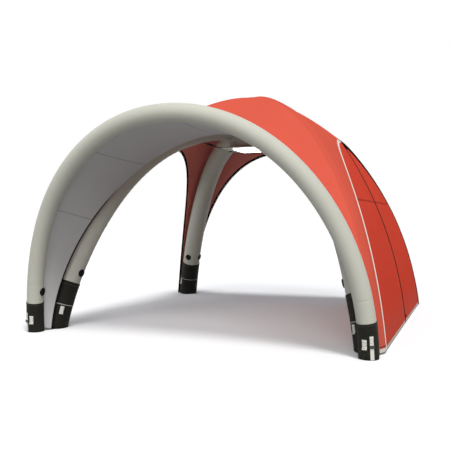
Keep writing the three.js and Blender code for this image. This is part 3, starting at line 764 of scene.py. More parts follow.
def plastic_finish(name, base, rough=0.58, shine=0.12):
    """Moulded plastic with a fine grain and worn, slightly paler high spots."""
    finish = Finish(name)
    grain = finish.noise(700.0, 2.0)
    wear = finish.noise(45.0, 5.0).fade(0.56, 0.78)
    tone = finish.mix(wear * 0.3, base, tuple(c * 2.2 + 0.012 for c in base))
    worn = grain * 0.12 + wear * 0.12 + (rough - 0.06)
    finish.set(Base_Color=tone, Roughness=worn, Specular_IOR_Level=shine)
    finish.bump(grain, 0.00012, 0.6)
    return finish.material


def lamp_finish():
    """A lit opal diffuser with a faint grid of dots."""
    finish = Finish("lit_opal_diffuser")
    x, y, _ = finish.place()
    dots = x.wave(0.02) * y.wave(0.02)
    tone = finish.mix(dots.fade(-1.0, 1.0) * 0.1, WHITE, (0.93, 0.95, 1.0))
    finish.set(Base_Color=(0.95, 0.95, 0.95), Roughness=0.35, Emission_Color=tone, Emission_Strength=5.0)
    return finish.material


def deliver(obj, material, nodes, body="tent"):
    """Gives a finished piece its material and its body, and hides the frame nodes that it stands for."""
    obj.data.materials.clear()
    obj.data.materials.append(material)
    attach(obj, body)
    if nodes:
        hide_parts(*nodes)
    return obj


def surface_area(grid):
    """Area of a grid of points."""
    first = np.cross(grid[1:, :-1] - grid[:-1, :-1], grid[:-1, 1:] - grid[:-1, :-1])
    second = np.cross(grid[1:, :-1] - grid[1:, 1:], grid[:-1, 1:] - grid[1:, 1:])
    return float(np.linalg.norm(first, axis=-1).sum() + np.linalg.norm(second, axis=-1).sum()) / 2


# ---- Operators ----


class TentOperator(bpy.types.Operator):
    """What every operator of the tent starts from"""

    bl_options = {"REGISTER", "UNDO"}

    def execute(self, context):
        self.sizes = context.scene.event_tent_sizes
        self.colours = context.scene.event_tent_colours
        self.tent = Tent(self.sizes)
        self.build()
        return {"FINISHED"}


class EVENTTENT_OT_canopy(TentOperator):
    """Adds the coral canopy, one stretched sheet with a sewn ridge over each leg"""

    bl_idname = "eventtent.canopy"
    bl_label = "Canopy"

    def quarter(self):
        """The canopy over the (+X, +Y) leg, with rows from the peak and columns from +X to +Y."""
        tent = self.tent
        start = tent.peak_share
        down = np.concatenate([np.linspace(0, start, 42)[:-1], np.linspace(start, 0.988, 76), [0.994, 1.0]])
        across = np.concatenate([np.linspace(0, 0.95, 27), [0.968, 0.985, 1.0]])
        half = tent.canopy_half(*np.broadcast_arrays(down[:, None], across[None, :]))
        other = half[..., [1, 0, 2]]
        grid = np.concatenate([half[:, ::-1], other[:, 1:]], axis=1)
        side = np.concatenate([across[::-1], across[1:]])
        ease = np.clip((1 - side) * 3, 0, 1)[None, :, None]
        near_ridge = np.clip(1 - np.abs(side) * 4, 0, 1)[None, :, None]
        for _ in range(14):
            soft = grid.copy()
            soft[:, 1:-1] = grid[:, :-2] * 0.25 + grid[:, 1:-1] * 0.5 + grid[:, 2:] * 0.25
            grid = grid + (soft - grid) * near_ridge
        grid = tent.off_leg(grid, np.broadcast_to(0.012 * ease[..., 0], grid.shape[:2]))
        # long shallow folds that run down from the crown and up from the foot
        metres = cloth_coordinates(grid, len(across) - 1)
        folds = cloth_noise(metres, (5.0, 0.7), 3.7) + 0.5 * cloth_noise(metres, (11.5, 1.61), 9.1)
        height = grid[..., 2]
        low = np.clip((1.3 - height) / 1.3, 0, 1)
        high = np.clip((height - 2.3) / 0.8, 0, 1)
        amount = (0.0015 + 0.004 * low + 0.003 * high) * ease[..., 0]
        outward = unit(np.cross(np.gradient(grid, axis=0), np.gradient(grid, axis=1)))
        grid[1:] = grid[1:] + (outward * (folds * amount)[..., None])[1:]
        return grid

    def build(self):
        quarter = self.quarter()
        middle = quarter.shape[1] // 2
        coordinates = cloth_coordinates(quarter, middle)
        grids = [(standing(turned(quarter, turns)), coordinates) for turns in range(4)]
        borders = [self.tent.opening_line(side, 0, 0.01) for side in SIDES]
        feet = [grid[-1] for grid, _ in grids]
        borders += [evenly(foot, 0.01) for foot in feet]
        canopy = sheet_object("canopy_cloth", grids, self.sizes.cloth_thickness, borders)
        deliver(canopy, canopy_finish(self.colours), ["canopy"])
        area = 4 * surface_area(quarter)


class EVENTTENT_OT_pipings(TentOperator):
    """Adds the sewn cord round each of the four openings"""

    bl_idname = "eventtent.pipings"
    bl_label = "Opening pipings"

    def build(self):
        black = tape_finish("black_piping", self.colours.black)
        for side in SIDES:
            line = self.tent.opening_line(side, self.tent.piping_inset)
            normal = turned(np.array([1.0, 0, 0]), SIDES[side])
            piping = tube_object(f"piping_cord_{side}", line, normal, self.sizes.piping_radius, 12)
            finish, slot = black, "black_trim"
            if side == "right":
                finish, slot = self.two_colours(), "white_trim"
            elif side == "front":
                finish = self.black_then_grey()
            deliver(piping, finish, [f"piping_{side}"])

    def black_then_grey(self):
        """Black at the feet of the porch's edge, and covered in the porch's own cloth above."""
        finish = Cloth("black_and_grey_piping", self.colours.black, 0.0009, 0.7, fold=0.1)
        z = finish.place()[2]
        finish.paint(z.fade(1.55, 1.85), self.colours.porch)
        return finish.close()

    def two_colours(self):
        """White down the front of the walled opening and black down its back."""
        finish = Cloth("white_and_black_piping", self.colours.white, 0.0009, 0.7, fold=0.1)
        y = finish.place()[1]
        finish.paint(y.above(CROWN_Y - 0.12), self.colours.black)
        return finish.close()


class EVENTTENT_OT_side_wall(TentOperator):
    """Adds the two halves of the red side wall"""

    bl_idname = "eventtent.side_wall"
    bl_label = "Side wall"

    beside_zip = 0.0123  # from the zip's middle to each half's edge
    narrowest = 0.025  # width at which a half ends under the opening's top

    def build(self):
        tent, sizes = self.tent, self.sizes
        inner = self.beside_zip
        angles = np.concatenate([[tent.hem_angle], np.linspace(tent.hem_angle + 0.012, QUARTER, 150)])
        edge = tent.opening_edge(angles, 2 * tent.piping_inset)
        edge = edge[edge[:, 1] >= inner + self.narrowest][::-1]
        across = np.concatenate([[0, 0.02], np.linspace(0.05, 0.95, 26), [0.975, 1.0]])
        for name, side, tape in (("wall_front_half", -1, "white"), ("wall_back_half", 1, "black")):
            grid = np.empty((len(edge), len(across), 3))
            grid[..., 0] = edge[:, :1]
            grid[..., 1] = side * (inner + (edge[:, 1:2] - inner) * across[None, :])
            grid[..., 2] = edge[:, 2:3]
            if side < 0:
                grid = grid[:, ::-1]
            coordinates = cloth_coordinates(grid, -1 if side < 0 else 0)
            # the cloth bellies a little between its edges
            belly = np.sin(np.pi * across) if side > 0 else np.sin(np.pi * across[::-1])
            folds = cloth_noise(coordinates, (1.3, 1.1), 5.5 + side) * 0.010
            level = np.clip((grid[..., 2] - 0.02) / 0.4, 0, 1)
            grid[..., 0] += (folds + 0.004) * belly[None, :] * level
            grid = standing(grid)
            border = evenly(standing(edge * [1, side, 1]), 0.01)
            wall = sheet_object(f"{name}_cloth", [(grid, coordinates)], sizes.cloth_thickness, [border])
            finish = wall_finish(self.colours, tape, sizes.wall_seam_height)
            deliver(wall, finish, [name])
            area = surface_area(grid)


class EVENTTENT_OT_legs(TentOperator):
    """Adds the four air legs, each a tight sleeve round a tube of air"""

    bl_idname = "eventtent.legs"
    bl_label = "Air legs"

    seam_heights = (0.89, 1.42)

    def build(self):
        sizes = self.sizes
        for name, corner in CORNERS.items():
            line = evenly(self.tent.leg_line(corner, sizes.boot_wall + GAP, 0.2), 0.014)
            run = lengths_along(line)
            seams = [float(np.interp(height, line[:, 2], run)) for height in self.seam_heights]
            across = self.tent.across_leg(corner)
            sleeve = tight_sleeve(sizes.leg_radius, seams)
            leg = tube_object(f"leg_sleeve_{name}", line, across, sleeve, 56, stands=True)
            finish = tube_finish(self.colours, f"leg_sleeve_cloth_{name}", seams)
            deliver(leg, finish, [f"leg_{name}"])


def tight_sleeve(radius, seams, crease=0.0012):
    """The radius of an air tube's sleeve: drawn in at its seams, creased where it bends inward."""

    def at(run, angle):
        total = float(run.max())
        size = radius - 0.0006 * (1 + np.sin(3 * angle + run * 5.0)) / 2
        for place in seams:
            pucker = np.sin(17 * angle + 3 * np.sin(2 * angle + place * 9))
            pucker = pucker * np.exp(-np.abs(run - place) / 0.05)
            size = size - 0.0022 * dent(run, place, 0.007) + 0.0007 * pucker
        inner = np.clip(np.sin(angle), 0, 1) ** 2
        bend = np.clip(run / total * 3 - 0.6, 0, 1) * np.clip((total - run) / 0.3, 0, 1)
        folds = np.sin(run * 2 * math.pi / 0.085 + 1.3 * np.sin(2 * angle) + 2.0 * np.sin(run * 3.1))
        return size + crease * inner * bend * folds

    return at


def boot_cup(name, line, reference, outer, thickness, ring, sides):
    """A cloth boot: a round cup with a bound top, open upwards."""

    def at(run, angle):
        total = float(run.max())
        round_foot = 0.012
        low = np.clip(1 - run / round_foot, 0, 1)
        size = outer - round_foot * (1 - np.sqrt(1 - low ** 2)) * 0.8
        size = size + 0.0012 * np.clip((run - total + 0.022) / 0.002, 0, 1)
        if ring:
            size = size + 0.0030 * dent(run, ring, 0.0045) - 0.0014 * dent(run, ring - 0.010, 0.006)
        slack = np.sin(5 * angle + 7 * run) * np.sin(run * 14 + 2 * np.sin(2 * angle))
        return size + 0.0011 * slack * np.sin(math.pi * run / total)

    cup = tube_object(name, line, reference, at, sides, stands=True)
    shell = bmesh.new()
    shell.from_mesh(cup.data)
    caps = [face for face in shell.faces if len(face.verts) > 4]
    top = max(caps, key=lambda face: face.calc_center_median().z)
    bmesh.ops.delete(shell, geom=[top], context="FACES_ONLY")
    shell.to_mesh(cup.data)
    shell.free()
    finish_modifier(cup, "SOLIDIFY", thickness=thickness, offset=-1, use_even_offset=False)
    return cup


class EVENTTENT_OT_boots(TentOperator):
    """Adds the black cloth boots round the feet of the legs and of the porch's arch"""

    bl_idname = "eventtent.boots"
    bl_label = "Boots"

    def build(self):
        sizes, tent = self.sizes, self.tent
        finish = boot_finish(self.colours, "leg_boot_cloth", sizes.boot_height, sizes.boot_ring_height)
        for name, corner in CORNERS.items():
            line = self.up_to(tent.leg_line(corner, 0.0, 0.2), sizes.boot_height)
            across = self.tent.across_leg(corner)
            outer = sizes.leg_radius + GAP + sizes.boot_wall
            boot = boot_cup(f"boot_cup_{name}", line, across, outer, 0.005, sizes.boot_ring_height, 64)
            deliver(boot, finish, [f"boot_{name}"])
        finish = boot_finish(self.colours, "porch_boot_cloth", sizes.porch_boot_height, None)
        for name, side in (("left", -1), ("right", 1)):
            points = tent.porch_point(np.linspace(0, QUARTER, 600)) * np.array([side, 1, 1])
            line = self.up_to(points, sizes.porch_boot_height)
            outer = sizes.porch_radius + GAP + sizes.porch_boot_wall
            boot = boot_cup(f"porch_boot_cup_{name}", line, (0, -1, 0), outer, 0.004, None, 52)
            deliver(boot, finish, [f"porch_boot_{name}"])

    def up_to(self, line, height):
        """The middle line of a foot up to a height, with close points at its start for the round foot."""
        low = line[line[:, 2] < height]
        end = [np.interp(height, line[:, 2], line[:, k]) for k in range(3)]
        line = evenly(np.vstack([low, end]), 0.007)
        line[:, 2] -= line[0, 2]
        fine = line[0] + (line[1] - line[0]) * np.array([[0.0], [0.2], [0.5]])
        return np.vstack([fine, line[1:]])


class EVENTTENT_OT_crown(TentOperator):
    """Adds the crown: the air chamber where the legs meet, its square panel and its straps"""

    bl_idname = "eventtent.crown"
    bl_label = "Crown"

    # distance from the axis and share of the height, from the bottom up
    outline = (
        (0.33, 0.0), (0.385, 0.22), (0.40, 0.42), (0.375, 0.6),
        (0.32, 0.76), (0.23, 0.885), (0.13, 0.955), (0.05, 1.0),
    )
    seam_runs = (0.16, 0.45)  # up the chamber's side
    sewn_on_at = 0.80  # from the axis to where a strap meets its leg
    sewn_length = 0.07

    def build(self):
        low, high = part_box("crown_chamber")
        shares = np.linspace(0, 1, 60)
        tall = high.z - low.z
        line = standing(np.stack([np.zeros(60), np.zeros(60), low.z + tall * shares], axis=1))
        rise = [share * tall for _, share in self.outline]
        out = [radius for radius, _ in self.outline]

        def at(run, angle):
            size = np.interp(run[:, 0], rise, out)
            for _ in range(3):
                size[1:-1] = (size[:-2] + 2 * size[1:-1] + size[2:]) / 4
            gores = 1 - 0.02 * np.abs(np.cos(4 * angle)) ** 8
            return size[:, None] * gores

        chamber = tube_object("crown_pillow", line, (1, 0, 0), at, 64)
        finish = tube_finish(self.colours, "crown_cloth", self.seam_runs)
        deliver(chamber, finish, ["crown_chamber"])
        self.panel()
        self.straps()

    def panel(self):
        panel = block("crown_panel_cloth", *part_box("crown_panel"))
        bpy.ops.object.mode_set(mode="EDIT")
        pick(panel, lambda face: abs(face.normal.z) > 0.9)
        bpy.ops.mesh.inset(thickness=0.022, depth=0)
        bpy.ops.mesh.inset(thickness=0.004, depth=-0.0018)
        bpy.ops.mesh.inset(thickness=0.03, depth=0.0)
        bpy.ops.object.mode_set(mode="OBJECT")
        finish_modifier(panel, "BEVEL", width=0.002, segments=2, limit_method="ANGLE")
        deliver(panel, self.panel_finish(), ["crown_panel"])

    def panel_finish(self):
        finish = Finish("crown_panel_cloth")
        x, y, _ = finish.place()
        reach = x.size().largest((y - CROWN_Y).size())
        half = self.sizes.crown_panel_side / 2
        rows = reach.line(half - 0.014, 0.0009) * stitches(x + y)
        patches = finish.noise(3.0, 3.0)
        base = self.colours.tube
        tone = finish.mix(patches, fade_colour(base, 0.92), fade_colour(base, 1.04))
        hem = reach.fade(half - 0.026, half - 0.024)
        tone = finish.mix(hem * 0.5, tone, fade_colour(base, 0.7))
        weave = x.wave(0.0016) * y.wave(0.0016)
        tone = finish.mix(rows, tone, fade_colour(base, 0.4))
        finish.set(Base_Color=tone, Roughness=patches * 0.1 + 0.55)
        finish.bump(weave * 0.00008 + finish.noise(9.0, 4.0) * 0.002 - rows * 0.0004)
        return finish.material

    def straps(self):
        """Ties each corner of the panel to the leg over it with a strap and a buckle."""
        black = tape_finish("black_crown_strap", self.colours.black)
        plastic = plastic_finish("crown_buckle_plastic", self.colours.plastic)
        axis = np.array([0, CROWN_Y, 0])
        bottom = np.array([0, 0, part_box("crown_panel")[0].z])
        corner_reach = self.sizes.crown_panel_side / math.sqrt(2)
        places = {}
        for name, corner in CORNERS.items():
            line = self.tent.leg_line(corner, 1.0, 0.2)
            out = np.array([*corner, 0]) / math.sqrt(2)
            middle = int(np.argmin(np.abs((line - axis) @ out - self.sewn_on_at)))
            across = self.tent.across_leg(corner)
            low = axis + out * (corner_reach - 0.03) + bottom - [0, 0, 0.002]
            tip = axis + out * (corner_reach + 0.004) + bottom
            slope = unit(line[middle + 3] - line[middle - 3])
            under = unit(np.array([0, 0, -1.0]) + slope * slope[2])
            high = line[middle] + under * (self.sizes.leg_radius + 0.003)
            sewn_on = high + slope * math.copysign(self.sewn_length, slope @ out)
            path = evenly(np.array([low, tip, high, sewn_on]), 0.006)
            side = np.linspace(-0.02, 0.02, 5)
            grid = path[:, None] + across[None, None] * side[None, :, None]
            strap = sheet_object(f"crown_strap_{name}", [(grid, cloth_coordinates(grid, 2))], 0.002)
            deliver(strap, black, [])
            along = Vector(high - tip).normalized()
            outward = Vector(across).cross(along)
            outward = outward if outward.z < 0 else -outward
            places[f"crown_buckle_{name}"] = frame_at(Vector(tip * 0.35 + high * 0.65), outward, along)
        buckle = slotted_plate("crown_buckle", 0.066, 0.070, 0.018)
        for copy in copies(buckle, places).values():
            deliver(copy, plastic, [])


class EVENTTENT_OT_lamp(TentOperator):
    """Adds the lit square lamp under the crown"""

    bl_idname = "eventtent.lamp"
    bl_label = "Lamp"

    def build(self):
        lamp = block("lamp_plate", *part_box("lamp_panel"))
        bpy.ops.object.mode_set(mode="EDIT")
        pick(lamp, lambda face: face.normal.z < -0.9)
        bpy.ops.mesh.inset(thickness=0.008, depth=0)
        bpy.ops.mesh.inset(thickness=0.001, depth=-0.0015)
        bpy.ops.object.mode_set(mode="OBJECT")
        finish_modifier(lamp, "BEVEL", width=0.0015, segments=2, limit_method="ANGLE")
        deliver(lamp, lamp_finish(), ["lamp_panel"])


class EVENTTENT_OT_porch_arch(TentOperator):
    """Adds the air arch of the porch"""

    bl_idname = "eventtent.porch_arch"
    bl_label = "Porch arch"

    seam_height = 0.596

    def build(self):
        sizes = self.sizes
        start = float(self.tent.porch.angle_at_height(sizes.porch_boot_wall + GAP))
        line = evenly(self.tent.porch_point(np.linspace(start, math.pi - start, 1500)), 0.014)
        run = lengths_along(line)
        rising = line[:len(line) // 2]
        seam = float(np.interp(self.seam_height, rising[:, 2], run[:len(rising)]))
        seams = [seam, run[-1] - seam]
        sleeve = tight_sleeve(sizes.porch_radius, seams, 0.0)
        arch = tube_object("porch_arch_sleeve", line, (0, -1, 0), sleeve, 48, stands=True)
        finish = tube_finish(self.colours, "porch_sleeve_cloth", seams)
        deliver(arch, finish, ["porch_arch"])


class EVENTTENT_OT_porch_cover(TentOperator):
    """Adds the porch's cover, stretched from its arch back to the front opening"""

    bl_idname = "eventtent.porch_cover"
    bl_label = "Porch cover"

    def build(self):
        tent, sizes = self.tent, self.sizes
        shares = np.linspace(0, 1, 260)
        angles = tent.hem_angle + (math.pi - 2 * tent.hem_angle) * shares
        front = tent.porch_point(angles)
        front[:, 2] = np.maximum(front[:, 2], sizes.hem_height)
        inset = tent.piping_inset
        back = standing(turned(tent.opening_edge(angles, inset), SIDES["front"]))
        run = unit(front - back)
        back = back + run * inset
        tangent = unit(np.gradient(front, axis=0))
        slant = np.linalg.norm(np.cross(run, tangent), axis=1)
        # the front edge keeps clear of the arch, and of the thicker boots at its feet
        booted = np.clip((sizes.porch_boot_height + 0.03 - front[:, 2]) / 0.02, 0, 1)
        reach = (sizes.porch_radius + 0.0015 + 0.0068 * booted) / slant
        front = front - run * reach[:, None]
        across = np.concatenate([[0, 0.03, 0.06], np.linspace(0.1, 0.94, 20), [0.97, 1.0]])
        grid = back[:, None] + (front - back)[:, None] * across[None, :, None]
        coordinates = cloth_coordinates(grid, 0)
        outward = unit(np.cross(np.gradient(grid, axis=0), np.gradient(grid, axis=1)))
        folds = cloth_noise(coordinates, (3.0, 0.8), 11.3) * 0.006
        hollow = -0.022 * np.linalg.norm(front - back, axis=1)[:, None]
        level = np.clip(grid[..., 2] / 0.5, 0, 1) * np.sin(np.pi * across)[None, :]
        grid = grid + outward * ((folds + hollow) * level)[..., None]
        total = float(coordinates[-1, 0, 1])
        cover = sheet_object("porch_cover_cloth", [(grid, coordinates)], sizes.cloth_thickness)
        deliver(cover, porch_finish(self.colours, total), ["porch_cover"])
        area = surface_area(grid)


# ---- Moulded fittings ----


def pick(obj, wanted, kind="FACE"):
    """In edit mode, selects the faces, or the vertices, that pass a test and nothing else."""
    bpy.ops.mesh.select_mode(type=kind)
    bpy.ops.mesh.select_all(action="DESELECT")
    shell = bmesh.from_edit_mesh(obj.data)
    for item in (shell.faces if kind == "FACE" else shell.verts):
        item.select_set(bool(wanted(item)))
    bmesh.update_edit_mesh(obj.data)


def place_in_mesh(obj):
    alone(obj)
    bpy.ops.object.transform_apply(location=True, rotation=True, scale=True)
    return obj


def put(obj, matrix):
    """Moves a piece that was modelled at the origin into its place."""
    obj.matrix_world = matrix
    place_in_mesh(obj)


def copies(piece, places):
    """Copies of a finished piece, each with its own mesh, one for each named place. The piece itself goes."""
    made = {}
    for name, place in places.items():
        copy = piece.copy()
        copy.data = piece.data.copy()
        copy.name = copy.data.name = name
        bpy.context.scene.collection.objects.link(copy)
        put(copy, place)
        made[name] = copy
    bpy.data.objects.remove(piece)
    return made


def started(name):
    """The primitive that was just added, named and with its place in its mesh."""
    bpy.context.object.name = name
    return place_in_mesh(bpy.context.object)


def block(name, low, high):
    """The cube that a plate or bar starts from."""
    bpy.ops.object.select_all(action="DESELECT")
    bpy.ops.mesh.primitive_cube_add(size=1, location=(low + high) / 2, scale=high - low)
    return started(name)


def drum(name, radius, depth, middle, turn, sides):
    """The cylinder that a disc or rod starts from."""
    bpy.ops.object.select_all(action="DESELECT")
    bpy.ops.mesh.primitive_cylinder_add(
        vertices=sides, radius=radius, depth=depth, location=middle, rotation=turn)
    return started(name)


def frame_at(middle, out, along):
    """A frame with X pointing out and Z along."""
    out = (out - along * out.dot(along)).normalized()
    side = along.cross(out)
    return Matrix((
        (out.x, side.x, along.x, middle.x),
        (out.y, side.y, along.y, middle.y),
        (out.z, side.z, along.z, middle.z),
        (0, 0, 0, 1),
    ))


def frame_on(point_at, height, out):
    """The frame on a tube's middle line at a height: X out of the tube and Z up it."""
    along = (point_at(height + 0.001) - point_at(height - 0.001)).normalized()
    return frame_at(point_at(height), out, along)


def compass(degrees):
    """A level direction: 0 is the front, 90 the right."""
    angle = math.radians(degrees)
    return Vector((math.sin(angle), -math.cos(angle), 0))


def round_piece(name, radius, back, front, steps, sides=64):
    """A disc along +X whose front face is shaped by steps of (inward, outward), as on a lathe."""
    piece = drum(name, radius, front - back, ((front + back) / 2, 0, 0), (0, QUARTER, 0), sides)
    bpy.ops.object.mode_set(mode="EDIT")
    pick(piece, lambda face: face.normal.x > 0.9)
    for inward, outward in steps:
        bpy.ops.mesh.inset(thickness=inward, depth=outward)
    bpy.ops.object.mode_set(mode="OBJECT")
    finish_modifier(piece, "BEVEL", width=0.0008, segments=2, limit_method="ANGLE")
    return piece


def bar(name, size, middle, bevel=0.0015):
    """A bar with rounded edges."""
    middle, half = Vector(middle), Vector(size) / 2
    piece = block(name, middle - half, middle + half)
    finish_modifier(piece, "BEVEL", width=bevel, segments=3, limit_method="ANGLE")
    return piece


def rod(name, radius, length_y, x, sides=24):
    """A rod along Y."""
    piece = drum(name, radius, length_y, (x, 0, 0), (QUARTER, 0, 0), sides)
    finish_modifier(piece, "BEVEL", width=radius * 0.2, segments=2, limit_method="ANGLE")
    return piece


def across_x(turn, reach):
    """A place at a distance from the X axis, a turn round it from Z towards Y."""
    return Matrix.Translation((0, reach * math.sin(turn), reach * math.cos(turn)))


def joined(first, *others):
    """One object from several, with flat faces kept flat and round ones smooth."""
    bpy.ops.object.select_all(action="DESELECT")
    for piece in (first, *others):
        piece.select_set(True)
    bpy.context.view_layer.objects.active = first
    if others:
        bpy.ops.object.join()
    bpy.ops.object.shade_smooth_by_angle(angle=math.radians(35))
    return first


def slotted_plate(name, width, height, depth, out=0):
    """A buckle: a thick frame with a hollowed front and a bar across it. X points out of it."""
    plate = bar(name, (depth, width, height), (out, 0, 0), 0.0025)
    bpy.ops.object.mode_set(mode="EDIT")
    pick(plate, lambda face: face.normal.x > 0.99)
    bpy.ops.mesh.inset(thickness=height * 0.13, depth=0)
    bpy.ops.mesh.inset(thickness=0.001, depth=-depth * 0.45)
    bpy.ops.object.mode_set(mode="OBJECT")
    cross = bar("cross_bar", (depth * 0.8, width * 0.8, height * 0.16), (out, 0, 0))
    return joined(plate, cross)


class ValveOperator(TentOperator):
    """What both kinds of valve start from"""

    proud = 0.010  # how far a valve's body stands out of its tube
    body_radius = 0.050
    body_back, body_front = -0.022, -0.003  # behind its outermost face, before the face is shaped
    seat = -0.006 + GAP  # where a cap or a plunger starts

    def leg_places(self, facing):
        """Where the valves sit on the legs, by leg. facing gives the level direction of each."""
        return {name: self.place(functools.partial(self.tent.leg_point, corner), self.sizes.valve_height,
                                 Vector(facing(corner)), self.sizes.leg_radius)
                for name, corner in CORNERS.items()}

    def place(self, point_at, height, out, radius):
        return frame_on(point_at, height, out) @ Matrix.Translation((radius + self.proud, 0, 0))

    def fit(self, piece, node, places, finishes, moves=False):
        """Sets a copy of a piece in each place. The piece's own name starts the names of its copies."""
        named = {f"{piece.name}_{name}": place for name, place in places.items()}
        for name, copy in zip(places, copies(piece, named).values()):
            body = f"{node}_{name}" if moves else "tent"
            deliver(copy, finishes[name], [f"{node}_{name}"], body)


class EVENTTENT_OT_inflation_valves(ValveOperator):
    """Adds the inflation valves and their quarter-turn caps"""

    bl_idname = "eventtent.inflation_valves"
    bl_label = "Inflation valves"

    porch_facing = 100  # degrees from the front towards the right

    def build(self):
        plastic = plastic_finish("valve_plastic", self.colours.plastic)
        places = self.leg_places(lambda corner: (-corner[0], 0, 0))
        porch_foot = functools.partial(self.tent.porch_foot, -1)
        places["porch"] = self.place(porch_foot, self.sizes.porch_valve_height, compass(self.porch_facing),
                                     self.sizes.porch_radius)
        finishes = dict.fromkeys(places, plastic)
        self.fit(self.flange(), "valve_body", places, finishes)
        finishes["back_left"] = plastic_finish("dark_red_plastic", self.colours.marked_cap)
        self.fit(self.cap(), "valve_cap", places, finishes, moves=True)

    def flange(self):
        steps = [
            (0.003, 0.003), (0.004, 0.0), (0.0005, -0.001), (0.003, 0.0),
            (0.0005, 0.001), (0.0005, 0.0), (0.0003, -0.0055),
        ]
        return joined(round_piece("valve_flange", self.body_radius, self.body_back, self.body_front, steps))

    def cap(self):
        """A disc with a straight grip, and notches round it where the grip doesn't reach."""
        steps = [(0.0012, 0.0012), (0.003, 0.0), (0.001, -0.0016), (0.010, 0.0), (0.001, 0.0014)]
        disc = round_piece("cap", 0.038, self.seat, self.seat + 0.0058, steps)
        grip = bar("grip", (0.010, 0.009, 0.057), (self.seat + 0.007, 0, 0), 0.0022)
        notch = bar("notch", (0.0035, 0.0022, 0.0045), (self.seat + 0.0055, 0, 0), 0.0006)
        turns = [k * math.pi / 8 for k in range(16) if k % 8]
        notches = copies(notch, {f"notch_{turn:.2f}": across_x(turn, 0.0345) for turn in turns})
        return joined(disc, grip, *notches.values())


class EVENTTENT_OT_relief_valves(ValveOperator):
    """Adds the relief valves with their sprung plungers"""

    bl_idname = "eventtent.relief_valves"
    bl_label = "Relief valves"

    def build(self):
        places = self.leg_places(lambda corner: (0, -corner[1], 0))
        finishes = dict.fromkeys(places, plastic_finish("relief_valve_plastic", self.colours.plastic))
        self.fit(self.flange(), "relief_body", places, finishes)
        steps = [(0.0015, 0.0015), (0.004, 0.0), (0.0015, -0.0015), (0.005, 0.0), (0.001, 0.001)]
        poppet = joined(round_piece("plunger", 0.019, self.seat, self.seat + 0.0075, steps, 40))
        self.fit(poppet, "relief_plunger", places, finishes, moves=True)

    def flange(self):
        """A body with ribs across its sunken ring."""
        steps = [
            (0.003, 0.003), (0.016, 0.0), (0.0005, -0.0015), (0.005, 0.0),
            (0.0005, 0.0015), (0.0045, 0.0), (0.0003, -0.0055),
        ]
        flange = round_piece("relief_flange", self.body_radius, self.body_back, self.body_front, steps)
        rib = bar("rib", (0.003, 0.003, 0.008), (-0.0012, 0, 0.0285), 0.0008)
        ribs = copies(rib, {f"rib_{k}": Matrix.Rotation(k * math.pi / 6, 4, "X") for k in range(12)})
        return joined(flange, *ribs.values())


